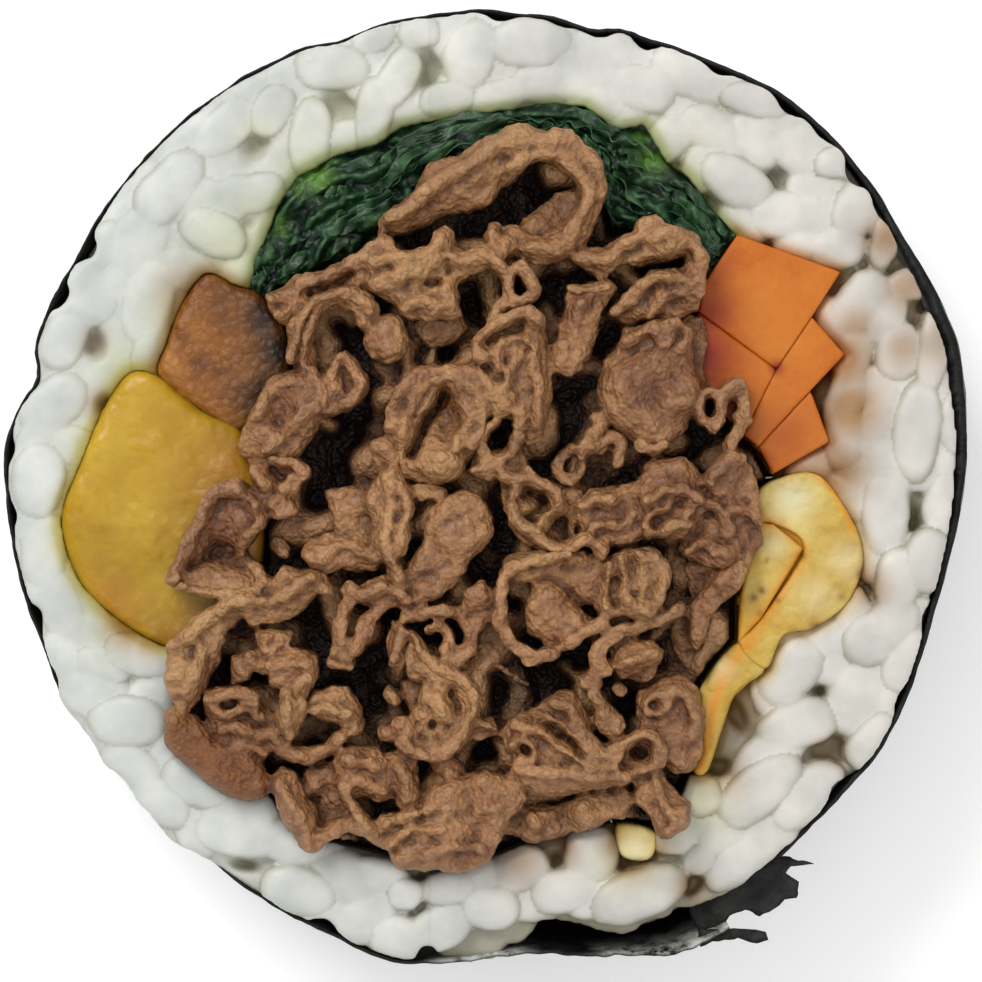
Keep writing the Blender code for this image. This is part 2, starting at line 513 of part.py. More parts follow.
def make_nori(finish, parent):
    """Wind the seaweed sheet round the rice and fuse its torn shreds to the loose end."""
    turns = 76
    levels = 3
    mesh = bmesh.new()
    bmesh.ops.create_grid(mesh, x_segments=turns, y_segments=levels, size=0.5)
    outer_face = mesh.verts[:]
    bmesh.ops.extrude_face_region(mesh, geom=mesh.faces[:])
    mesh.verts.index_update()
    for vert in mesh.verts:
        angle = SHEET_START + (vert.co.x + 0.5) * (SHEET_END - SHEET_START)
        height = NORI_FOOT + (vert.co.y + 0.5) * (NORI_TOP - NORI_FOOT)
        radius = sheet_place(angle, height)
        if vert not in outer_face:
            radius -= NORI_THICKNESS
        vert.co = (radius * math.cos(angle), radius * math.sin(angle), height)
    bmesh.ops.recalc_face_normals(mesh, faces=mesh.faces)
    sheet = new_object("nori", mesh, finish, parent)
    shreds = []
    for name, (middle, rise, outline) in NORI_SHREDS.items():
        points = [plan(*point) for point in outline]
        shape = prism(points, (middle - 0.25) * MM, (middle + 0.25) * MM)
        near = points[0].x
        far = max(point.x for point in points)
        for vert in shape.verts:
            share = (vert.co.x - near) / (far - near)
            vert.co.z += rise * (share - 0.5) * MM
        shreds.append(new_object(name, shape, finish))
    fuse(sheet, shreds, "MANIFOLD")
    return sheet


def grain_shape(pixel_x, pixel_y, direction, length, width, height):
    """Shape one rice grain, pressed flat where it meets the seaweed or a filling."""
    mesh = bmesh.new()
    bmesh.ops.create_uvsphere(mesh, u_segments=6, v_segments=4, radius=0.5)
    tip_along_x = Matrix.Rotation(math.pi / 2, 3, "Y")
    bmesh.ops.rotate(mesh, verts=mesh.verts, cent=(0, 0, 0), matrix=tip_along_x)
    bmesh.ops.scale(mesh, verts=mesh.verts, vec=(length, width, GRAIN_THICKNESS))
    turn = Matrix.Rotation(math.radians(direction), 3, "Z")
    bmesh.ops.rotate(mesh, verts=mesh.verts, cent=(0, 0, 0), matrix=turn)
    bmesh.ops.translate(mesh, verts=mesh.verts, vec=(*plan(pixel_x, pixel_y), height))
    for vert in mesh.verts:
        angle = math.atan2(vert.co.y, vert.co.x)
        radius = math.hypot(vert.co.x, vert.co.y)
        limit = rice_limit(angle, min(vert.co.z, SLICE_HEIGHT)) - 0.1 * MM
        held = min(limit, radius)
        vert.co.x *= held / radius
        vert.co.y *= held / radius
        vert.co.z = min(vert.co.z, GRAIN_CREST)
    return mesh


def pocket_outlines():
    """List the plan outlines that the rice is pressed round."""
    outlines = [[plan(*point) for point in outline] for outline in FILLINGS.values()]
    outlines.append([plan(*point) for point in BEEF_OUTLINE])
    outlines.append([plan(*point) for point in SPINACH_OUTER + SPINACH_INNER[::-1]])
    return outlines


def inside(outline, place):
    """Tell whether a plan point lies inside a closed outline."""
    crossings = 0
    for first, second in zip(outline, outline[1:] + outline[:1]):
        if (first.y > place.y) != (second.y > place.y):
            share = (place.y - first.y) / (second.y - first.y)
            crossings += first.x + (second.x - first.x) * share > place.x
    return crossings % 2 == 1


def loose_grain_places(count, taken):
    """Spread the remaining grains evenly over the bare rice, by a seeded rule."""
    chance = random.Random(7)
    grown = [inset(outline, -0.9 * MM) for outline in pocket_outlines()]
    places = []
    candidates = 90
    for _ in range(count):
        best = None
        for _ in range(candidates):
            angle = chance.uniform(0, 2 * math.pi)
            limit = rice_limit(angle, SLICE_HEIGHT)
            radius = chance.uniform(limit * 0.5, limit - 1.2 * MM)
            place = Vector((radius * math.cos(angle), radius * math.sin(angle)))
            if any(inside(outline, place) for outline in grown):
                continue
            nearest = min((place - other).length for other in taken + places)
            if best is None or nearest > best[0]:
                best = (nearest, place)
        places.append(best[1])
    return places


def make_rice(finish, parent):
    """Press the rice round the fillings and set the grains that show in its cut face."""
    steps = 88
    wall_levels = (0.0, SLICE_HEIGHT / 2, RICE_CORE_TOP)
    mesh = bmesh.new()
    bmesh.ops.create_cone(mesh, cap_ends=True, cap_tris=False, segments=steps,
                          radius1=1.0, radius2=1.0, depth=2.0)
    walls = [edge for edge in mesh.edges if abs(edge.verts[0].co.z - edge.verts[1].co.z) > 1]
    bmesh.ops.subdivide_edges(mesh, edges=walls, cuts=1)
    for vert in mesh.verts:
        height = wall_levels[round(vert.co.z) + 1]
        angle = math.atan2(vert.co.y, vert.co.x)
        radius = rice_limit(angle, height)
        vert.co = (radius * math.cos(angle), radius * math.sin(angle), height)
    ring = new_object("rice", mesh, finish, parent)
    grains = []
    taken = []
    for pixel_x, pixel_y, direction, length, width in SHOWN_GRAINS:
        shape = grain_shape(pixel_x, pixel_y, direction, length * MM, width * MM, GRAIN_MIDDLE)
        grains.append(new_object("grain", shape, finish))
        taken.append(plan(pixel_x, pixel_y))
    chance = random.Random(11)
    for place in loose_grain_places(LOOSE_GRAINS, taken):
        pixel_x = place.x / PIXEL + PLAN_CENTRE[0]
        pixel_y = PLAN_CENTRE[1] - place.y / PIXEL
        direction = chance.uniform(0, 180)
        length = GRAIN_LENGTH * chance.uniform(0.75, 1.05)
        width = GRAIN_WIDTH * chance.uniform(0.9, 1.1)
        height = GRAIN_MIDDLE - chance.uniform(0.2, 0.6) * MM
        shape = grain_shape(pixel_x, pixel_y, direction, length, width, height)
        grains.append(new_object("grain", shape, finish))
    fuse(ring, grains, "MANIFOLD")
    for outline in pocket_outlines():
        pocket = prism(inset(outline, -SHARE_OF_GAP), -MM, 30 * MM)
        cut_away(ring, new_object("pocket", pocket, finish), "MANIFOLD")
    return ring


def make_filling(name, finish, parent):
    """Cut one stick or strip of filling, from the board up to the cut face."""
    outline = inset([plan(*point) for point in FILLINGS[name]], SHARE_OF_GAP)
    top, rounding = FILLING_TOPS[name]
    return new_object(name, prism(outline, 0.0, top * MM, rounding * MM), finish, parent)


def make_spinach(finish, parent):
    """Fold the blanched spinach into a crescent with a crinkled top."""
    stations = 30
    rows = 5
    outer = [plan(*point) for point in SPINACH_OUTER]
    inner = [plan(*point) for point in SPINACH_INNER]
    mesh = bmesh.new()
    bmesh.ops.create_grid(mesh, x_segments=stations, y_segments=rows, size=0.5)
    for vert in mesh.verts:
        along = 0.01 + 0.98 * (vert.co.x + 0.5)
        far = curve_point(outer, along)
        near = curve_point(inner, along)
        breadth = (far - near).length
        edge = SHARE_OF_GAP * 1.6 / breadth
        across = edge + (1 - 2 * edge) * (vert.co.y + 0.5)
        place = near.lerp(far, across)
        crinkle = math.sin(along * 61 + across * 5) + math.sin(along * 34 - across * 9)
        vert.co = (place.x, place.y, (17.7 + 0.55 * crinkle) * MM)
    top = mesh.faces[:]
    lowered = bmesh.ops.extrude_face_region(mesh, geom=top)
    for item in lowered["geom"]:
        if isinstance(item, bmesh.types.BMVert):
            item.co.z = 0.0
    bmesh.ops.recalc_face_normals(mesh, faces=mesh.faces)
    floor = [face for face in mesh.faces if all(vert.co.z < MM for vert in face.verts)]
    bmesh.ops.dissolve_faces(mesh, faces=floor)
    return new_object("spinach", mesh, finish, parent)


def make_beef(finish, parent):
    """Heap the thin slices of beef on their core and keep them clear of the pieces around it."""
    outline = [plan(*point) for point in BEEF_OUTLINE]
    core = new_object("beef", prism(inset(outline, SHARE_OF_GAP), 0.0, BEEF_CORE_TOP), finish, parent)
    slices = []
    for name, (width, thickness, roll_start, roll_end, spine) in BEEF_SLICES.items():
        length = ribbon_length(spine)
        sides = 6 if width * thickness > 6 else 5
        stations = max(4, round(length / 2.5) + 2)
        foot = BEEF_CORE_TOP - 2 * MM
        width *= BEEF_WIDENING
        thickness *= BEEF_THICKENING
        shape = ribbon(width, thickness, roll_start, roll_end, spine, sides, stations, foot)
        slices.append(new_object(name, shape, finish))
    fuse(core, slices, "EXACT")
    half = 60 * MM
    plate = prism([Vector(corner) for corner in ((-half, -half), (half, -half), (half, half), (-half, half))],
                  -MM, TABLE_OVER_NEIGHBOURS)
    table = new_object("table", plate, finish)
    well = new_object("well", prism(inset(outline, SHARE_OF_GAP * 0.8), -2 * MM, 30 * MM), finish)
    cut_away(table, well, "EXACT")
    cut_away(core, table, "EXACT")
    return core


def make_slice():
    """Build every piece of the slice under one empty."""
    for piece in list(bpy.data.objects):
        bpy.data.objects.remove(piece)
    finishes = {name: make_finish(name, *look) for name, look in FINISHES.items()}
    middle = bpy.data.objects.new("kimbap_slice", None)
    bpy.context.scene.collection.objects.link(middle)
    make_nori(finishes["nori"], middle)
    make_rice(finishes["rice"], middle)
    for name in FILLINGS:
        kind = name.split("_")[0] if name.startswith(("carrot", "egg")) else name
        make_filling(name, finishes[kind], middle)
    make_spinach(finishes["spinach"], middle)
    make_beef(finishes["beef"], middle)


make_slice()
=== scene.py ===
"""A slice of bulgogi kimbap on a pale board, seen from straight above.

Plan points are pixels of the photograph, turned into metres from the middle of the slice.
Heights, thicknesses and widths are in millimetres.
"""
import math
import random

import bmesh
import bpy
import numpy as np
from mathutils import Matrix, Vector, noise


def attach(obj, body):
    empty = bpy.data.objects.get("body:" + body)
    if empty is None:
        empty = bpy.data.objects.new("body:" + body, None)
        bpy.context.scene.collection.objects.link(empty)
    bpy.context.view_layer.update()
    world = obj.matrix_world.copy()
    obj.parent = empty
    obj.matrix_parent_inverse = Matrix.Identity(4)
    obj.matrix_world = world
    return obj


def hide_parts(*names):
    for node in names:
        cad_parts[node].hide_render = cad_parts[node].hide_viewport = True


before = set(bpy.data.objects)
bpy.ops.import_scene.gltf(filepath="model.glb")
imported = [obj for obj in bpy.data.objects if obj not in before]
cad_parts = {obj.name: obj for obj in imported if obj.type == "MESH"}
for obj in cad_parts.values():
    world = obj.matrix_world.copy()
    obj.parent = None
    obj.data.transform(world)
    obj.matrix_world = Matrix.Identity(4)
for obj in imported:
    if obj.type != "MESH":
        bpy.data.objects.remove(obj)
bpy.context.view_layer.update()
# noise_vector shifts by the clock unless it has a seed.
NOISE_SEED = 1
noise.seed_set(NOISE_SEED)

# The seaweed is one thin toasted sheet wound once round the rice, where its own moisture
# softens and shrinks it on. Its torn far end stands off at the lower right, still grey with
# the starch of the rice that it was pressed against.
MM = 0.001
PIXEL = 0.066 * MM
PLAN_CENTRE = (489, 488)
SLICE_HEIGHT = 18.0 * MM
GAP = 0.3 * MM
NORI_THICKNESS = 0.32 * MM
NORI_FOOT = 0.4 * MM
NORI_TOP = 17.7 * MM
BELLY = 0.12 * MM
BELLY_EXTRA = 0.6 * MM
BELLY_SIDE = math.radians(8)

INNER_TURN = [
    (440, 938), (495, 925), (545, 917), (610, 934), (650, 926), (690, 904), (730, 893), (770, 869),
]
ROUND_THE_ROLL = [
    (797, 846), (822, 820), (850, 791), (880, 760), (905, 718), (922, 676), (940, 618), (955, 570),
    (967, 525), (974, 475), (976, 435), (974, 392), (967, 342), (950, 300), (930, 265), (900, 218),
    (880, 183), (858, 158), (840, 135), (812, 112), (785, 90), (760, 78), (720, 62), (690, 49),
    (666, 40), (640, 36), (622, 23), (600, 30), (582, 24), (555, 15), (520, 12), (480, 8),
    (440, 13), (400, 18), (378, 22), (352, 33), (338, 42), (305, 45), (280, 57), (240, 77),
    (200, 105), (160, 140), (125, 178), (100, 213), (75, 258), (50, 300), (38, 330), (31, 352),
    (41, 378), (18, 402), (6, 432), (2, 465), (6, 505), (12, 550), (28, 610), (45, 655),
    (58, 705), (78, 728), (94, 744), (98, 766), (127, 781), (130, 798), (155, 822), (165, 842),
    (205, 860), (240, 886), (280, 912), (340, 940), (372, 957), (402, 967),
]
LOOSE_END = [
    (440, 964), (470, 962), (500, 958), (530, 954), (560, 955), (600, 958), (640, 957), (680, 953),
    (706, 944), (730, 928),
]
TORN_SHREDS = {
    "wide_shred": (16.0, 1.0, [
        (700, 938), (688, 908), (715, 889), (750, 875), (781, 857), (815, 864), (793, 867),
        (786, 874), (799, 882), (797, 899), (785, 901), (775, 910), (760, 917), (745, 911),
        (731, 917), (722, 932)]),
    "narrow_shred": (16.6, 0.4, [
        (700, 948), (698, 930), (725, 929), (745, 929), (766, 932), (768, 939), (758, 944),
        (740, 938), (718, 941)]),
}


def plan(pixel_x, pixel_y):
    """Turn a pixel of the photograph into metres from the middle of the slice."""
    return Vector(((pixel_x - PLAN_CENTRE[0]) * PIXEL, (PLAN_CENTRE[1] - pixel_y) * PIXEL))


def wound_knots(points):
    """List points as angle and radius, with the angles rising past a full turn."""
    knots = []
    for point in points:
        place = plan(*point)
        angle = math.atan2(place.y, place.x)
        while knots and angle < knots[-1][0] - math.pi:
            angle += 2 * math.pi
        knots.append((angle, place.length))
    return knots


SHEET_KNOTS = wound_knots(INNER_TURN + ROUND_THE_ROLL + LOOSE_END)
SHEET_ANGLES = np.array([angle for angle, _ in SHEET_KNOTS])
SHEET_RADII = np.array([radius for _, radius in SHEET_KNOTS])
SHEET_START = SHEET_ANGLES[0]
SHEET_END = SHEET_ANGLES[-1]
FLARE_START = SHEET_START + 2 * math.pi


def sheet_radius(angle):
    """Give the seaweed's silhouette radius at unwound angles, eased over a few degrees."""
    reach = math.radians(1.4)
    steps = [np.interp(angle + step * reach, SHEET_ANGLES, SHEET_RADII) for step in (-1, 0, 1)]
    return sum(steps) / 3


def belly(angle, height):
    """Give how far the side draws in from its silhouette: the roll is a low barrel."""
    facing = np.maximum(0.0, np.cos(angle - BELLY_SIDE)) ** 3
    level = 2 * height / SLICE_HEIGHT - 1
    return (BELLY + BELLY_EXTRA * facing) * level * level


def sheet_place(angle, height):
    """Give the outer face's radius. The loose end hugs the roll below and leans out above."""
    radius = sheet_radius(angle) - belly(angle, height)
    if angle < FLARE_START:
        return radius
    under = sheet_radius(angle - 2 * math.pi) - belly(angle, height)
    hugging = min(radius, under + NORI_THICKNESS + 2 * GAP)
    share = max(0.0, min(1.0, (height / NORI_TOP - 0.45) / 0.55))
    blend = share * share * (3 - 2 * share)
    return hugging + (radius - hugging) * blend


def rice_limit(angle, height):
    """Give the outer radius that rice may fill at directions and heights, as arrays."""
    radii = []
    for step in range(-2, 3):
        turned = SHEET_START + (angle + math.radians(2 * step) - SHEET_START) % (2 * math.pi)
        radii.append(sheet_radius(turned))
    return np.min(radii, axis=0) - belly(angle, height) - NORI_THICKNESS - 0.1 * MM


# Shown width in mm of the seaweed's cut edge, at directions in degrees. At the lower left the
# rice bulges over it, and at the right the sheet stands off.
RIM_WIDTHS = [
    (0, 0.55), (12, 0.90), (24, 0.85), (34, 0.50), (44, 0.30), (60, 0.26), (85, 0.18), (100, 0.13),
    (150, 0.13), (165, 0.20), (196, 0.16), (204, 0.05), (233, 0.05), (240, 0.16), (256, 0.20),
    (300, 0.22), (322, 0.26), (345, 0.36), (360, 0.55),
]


def rim_width(angle):
    """Give the shown width of the seaweed's edge at directions, as an array."""
    directions, widths = zip(*RIM_WIDTHS)
    return np.interp(np.degrees(angle) % 360, directions, widths) * MM


def object_from(name, mesh_source, finish, smooth=True):
    """Make an object from a bmesh facing outward, with its material."""
    if mesh_source.calc_volume(signed=True) < 0:
        bmesh.ops.reverse_faces(mesh_source, faces=mesh_source.faces)
    mesh = bpy.data.meshes.new(name)
    mesh_source.to_mesh(mesh)
    mesh_source.free()
    piece = bpy.data.objects.new(name, mesh)
    bpy.context.scene.collection.objects.link(piece)
    mesh.materials.append(finish)
    if smooth:
        mesh.shade_smooth()
    return piece


def new_finish(name, roughness, specular=0.5):
    """Start a material and hand back its node tree and its Principled shader."""
    finish = bpy.data.materials.new(name)
    finish.use_nodes = True
    tree = finish.node_tree
    shader = tree.nodes["Principled BSDF"]
    shader.inputs["Roughness"].default_value = roughness
    shader.inputs["Specular IOR Level"].default_value = specular
    return finish, tree, shader


def srgb(red, green, blue):
    """Turn a colour judged on a 0 to 255 scale into linear light."""
    linear = []
    for value in (red, green, blue):
        share = value / 255
        linear.append(share / 12.92 if share <= 0.04045 else ((share + 0.055) / 1.055) ** 2.4)
    return (*linear, 1.0)


def noise_mask(tree, scale, detail, roughness, stretch=(1, 1, 1)):
    """Add a noise texture on the object's own coordinates and hand back its value."""
    place = tree.nodes.new("ShaderNodeTexCoord")
    mapping = tree.nodes.new("ShaderNodeMapping")
    mapping.inputs["Scale"].default_value = stretch
    texture = tree.nodes.new("ShaderNodeTexNoise")
    texture.inputs["Scale"].default_value = scale
    texture.inputs["Detail"].default_value = detail
    texture.inputs["Roughness"].default_value = roughness
    tree.links.new(place.outputs["Object"], mapping.inputs["Vector"])
    tree.links.new(mapping.outputs["Vector"], texture.inputs["Vector"])
    return texture.outputs["Fac"]


def ramp(tree, mask, stops):
    """Add a colour ramp over a mask. Stops are position and linear colour."""
    node = tree.nodes.new("ShaderNodeValToRGB")
    elements = node.color_ramp.elements
    while len(elements) < len(stops):
        elements.new(0.5)
    for element, (position, colour) in zip(elements, stops):
        element.position = position
        element.color = colour
    tree.links.new(mask, node.inputs["Fac"])
    return node.outputs["Color"]


def blend(tree, factor, first, second, kind="MIX"):
    """Mix two colours by a mask, a socket or a number. Sockets and colours both serve."""
    node = tree.nodes.new("ShaderNodeMix")
    node.data_type = "RGBA"
    node.blend_type = kind
    for value, socket in ((factor, node.inputs[0]), (first, node.inputs[6]), (second, node.inputs[7])):
        if isinstance(value, bpy.types.NodeSocket):
            tree.links.new(value, socket)
        else:
            socket.default_value = value
    return node.outputs[2]


def reckon(tree, kind, first, second):
    """Add a maths node and hand back its result."""
    node = tree.nodes.new("ShaderNodeMath")
    node.operation = kind
    for value, socket in ((first, node.inputs[0]), (second, node.inputs[1])):
        if isinstance(value, bpy.types.NodeSocket):
            tree.links.new(value, socket)
        else:
            socket.default_value = value
    return node.outputs[0]


def stored(tree, name):
    """Read a value that the mesh stores at its points."""
    node = tree.nodes.new("ShaderNodeAttribute")
    node.attribute_name = name
    return node


def raise_surface(tree, shader, height, distance):
    """Give a material fine relief from a height mask."""
    bump = tree.nodes.new("ShaderNodeBump")
    bump.inputs["Distance"].default_value = distance
    tree.links.new(height, bump.inputs["Height"])
    tree.links.new(bump.outputs["Normal"], shader.inputs["Normal"])


def store_values(piece, name, values):
    """Store one value for each point of a mesh."""
    layer = piece.data.attributes.new(name, "FLOAT", "POINT")
    layer.data.foreach_set("value", np.asarray(values, dtype=np.float32))


def store_tints(piece, tints):
    """Store one colour for each point of a mesh."""
    layer = piece.data.attributes.new("tint", "FLOAT_COLOR", "POINT")
    layer.data.foreach_set("color", tints.astype(np.float32).ravel())


def points_of(piece):
    """Read a mesh's points as an array."""
    flat = np.empty(len(piece.data.vertices) * 3, dtype=np.float32)
    piece.data.vertices.foreach_get("co", flat)
    return flat.reshape(-1, 3).astype(float)


def set_points(piece, points):
    """Write a mesh's points back from an array."""
    piece.data.vertices.foreach_set("co", points.astype(np.float32).ravel())
    piece.data.update()


nori_finish, tree, shader = new_finish("nori", 0.5, 0.2)
fleck = noise_mask(tree, 900, 6.0, 0.7)
sheet_colour = ramp(tree, fleck, [
    (0.35, srgb(4, 6, 5)), (0.62, srgb(12, 15, 12)), (0.8, srgb(30, 35, 30))])
smear = noise_mask(tree, 420, 6.0, 0.75, (1, 1, 0.6))
starch = stored(tree, "starch").outputs["Fac"]
smear_mask = ramp(tree, smear, [(0.38, (0, 0, 0, 1)), (0.56, (1, 1, 1, 1))])
starch_mask = reckon(tree, "MULTIPLY", starch, smear_mask)
tree.links.new(blend(tree, starch_mask, sheet_colour, srgb(186, 187, 180)), shader.inputs["Base Color"])
raise_surface(tree, shader, noise_mask(tree, 1500, 5.0, 0.65), 0.12 * MM)

SHEET_STEPS_ROUND = 1150
SHEET_STEPS_UP = 20
NOISE_RADIUS = 28
# Where the rice bulges over the sheet its edge is sunk: directions in degrees, depth in mm.
SUNK_AT = 219
SUNK_HALF_WIDTH = 15
SUNK_DEPTH = 1.3
# The start of the sheet, hidden behind the loose end, is lower: shares of its height, and
# degrees from its tip.
HIDDEN_RUN = math.radians(44)
HIDDEN_SHARE = 0.93
TIP_SHARE = 0.08
TIP_RUN = 16
TIP_EASE = 6
# The loose end leans out from here on, and it is more crumpled.
LOOSE_RUN = math.radians(4)
LOOSE_CRUMPLE = 2.6
LOOSE_RIM = 0.2 * MM
# Starch greys the loose end's inner face near its top, but for one bare patch. Directions and
# widths are in degrees.
LOOSE_FROM = 262
LOOSE_TO = 304
LOOSE_EASE = 4
LOOSE_REACH = 29.7 * MM
BARE_AT = 279
BARE_HALF_WIDTH = 5.5
SHEET_STARCH = 0.02
SHRED_STARCH = 0.03


def start_height(angle):
    """Give the share of the full height that the sheet has at an unwound angle."""
    if angle >= SHEET_START + HIDDEN_RUN:
        return 1.0
    left = max(0.0, TIP_RUN - math.degrees(angle - SHEET_START))
    return HIDDEN_SHARE - TIP_SHARE * min(1.0, left / TIP_EASE)


def sheet_point(turn, rise, inner):
    """Give a point of the sheet at shares of its length and height, on one of its faces."""
    angle = SHEET_START + turn * (SHEET_END - SHEET_START)
    around = Vector((math.cos(angle), math.sin(angle), 0)) * NOISE_RADIUS
    ragged = 0.35 * noise.noise(around * 0.9) + 0.18 * noise.noise(around * 3.1)
    sunk = SUNK_DEPTH * math.exp(-((math.degrees(angle) % 360 - SUNK_AT) / SUNK_HALF_WIDTH) ** 4)
    top = NORI_TOP + (ragged - 0.1 - sunk) * MM
    height = NORI_FOOT + rise * (top - NORI_FOOT)
    radius = sheet_place(angle, height)
    wrinkled = around * 0.35 + Vector((0, 0, height / MM * 0.35))
    crease = noise.noise(wrinkled * 1.0) * 0.10 + noise.noise(wrinkled * 3.3) * 0.05
    if angle > FLARE_START + LOOSE_RUN:
        crease *= LOOSE_CRUMPLE
    radius += (crease - 0.04 - 0.25 * sunk) * MM
    height *= start_height(angle)
    if inner:
        thinned = max(0.0, min(1.0, (height - 16.4 * MM) / (1.2 * MM)))
        shown = float(rim_width(angle)) if angle < FLARE_START else LOOSE_RIM
        radius -= NORI_THICKNESS * (1 - thinned) + shown * thinned
    return radius * math.cos(angle), radius * math.sin(angle), height


def starch_on(places, inner_face):
    """Tell how much starch is left at the points of the sheet."""
    reach = np.hypot(places[:, 0], places[:, 1])
    turn = np.degrees(np.arctan2(places[:, 1], places[:, 0])) % 360
    loose = (turn > LOOSE_FROM) & (turn < LOOSE_TO) & (reach > LOOSE_REACH)
    bare = np.exp(-((turn - BARE_AT) / BARE_HALF_WIDTH) ** 4)
    amount = (1.0 - bare) * np.clip((places[:, 2] - 12.5 * MM) / (2.5 * MM), 0, 1)
    amount *= np.clip((turn - LOOSE_FROM) / LOOSE_EASE, 0, 1)
    amount *= np.clip((LOOSE_TO - turn) / LOOSE_EASE, 0, 1)
    return np.where(loose & inner_face, np.maximum(amount, SHEET_STARCH), SHEET_STARCH)


mesh = bmesh.new()
bmesh.ops.create_grid(mesh, x_segments=SHEET_STEPS_ROUND, y_segments=SHEET_STEPS_UP, size=0.5)
outer_points = len(mesh.verts)
bmesh.ops.extrude_face_region(mesh, geom=mesh.faces[:])
mesh.verts.index_update()
for vert in mesh.verts:
    vert.co = sheet_point(vert.co.x + 0.5, vert.co.y + 0.5, vert.index >= outer_points)
bmesh.ops.recalc_face_normals(mesh, faces=mesh.faces)
nori_sheet = object_from("nori_sheet", mesh, nori_finish)
places = points_of(nori_sheet)
store_values(nori_sheet, "starch", starch_on(places, np.arange(len(places)) >= outer_points))

SHRED_EDGE = 0.5 * MM
SHRED_THICKNESS = 0.3 * MM


def torn_shred(middle, rise, outline):
    """Shape one torn shred: a rippled, ragged sheet that rises from its near end."""
    points = [plan(*point) for point in outline]
    mesh = bmesh.new()
    flat = mesh.faces.new([mesh.verts.new((point.x, point.y, 0)) for point in points])
    bmesh.ops.triangulate(mesh, faces=[flat])
    for _ in range(5):
        long_edges = [edge for edge in mesh.edges if edge.calc_length() > SHRED_EDGE]
        bmesh.ops.subdivide_edges(mesh, edges=long_edges, cuts=1)
        bmesh.ops.triangulate(mesh, faces=mesh.faces)
    near = points[0].x
    far = max(point.x for point in points)
    for vert in mesh.verts:
        share = (vert.co.x - near) / (far - near)
        ripple = Vector((vert.co.x, vert.co.y, 3 * MM)) / MM
        vert.co.z = (middle + rise * (share - 0.5) + 0.55 * noise.noise(ripple * 0.45)) * MM
        ragged = noise.noise_vector(ripple * 1.7) * 0.16 * MM
        vert.co.x += ragged.x
        vert.co.y += ragged.y
    lifted = bmesh.ops.extrude_face_region(mesh, geom=mesh.faces[:])
    for item in lifted["geom"]:
        if isinstance(item, bmesh.types.BMVert):
            item.co.z += SHRED_THICKNESS
    bmesh.ops.recalc_face_normals(mesh, faces=mesh.faces)
    return mesh


nori_pieces = [nori_sheet]
for name, (middle, rise, outline) in TORN_SHREDS.items():
    shred = object_from("nori_" + name, torn_shred(middle, rise, outline), nori_finish)
    store_values(shred, "starch", np.full(len(shred.data.vertices), SHRED_STARCH))
    nori_pieces.append(shred)
for piece in nori_pieces:
    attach(piece, "root")
    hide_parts("nori")

# The rice is steamed short grain, seasoned and pressed into a thick ring by the rolling. The
# knife leaves its grains clean and plump at the right and below, and drags them into a smooth
# pressed mass at the left and above. Sauce has browned it beside the carrot and the radish.
RICE_VOXEL = 0.165 * MM
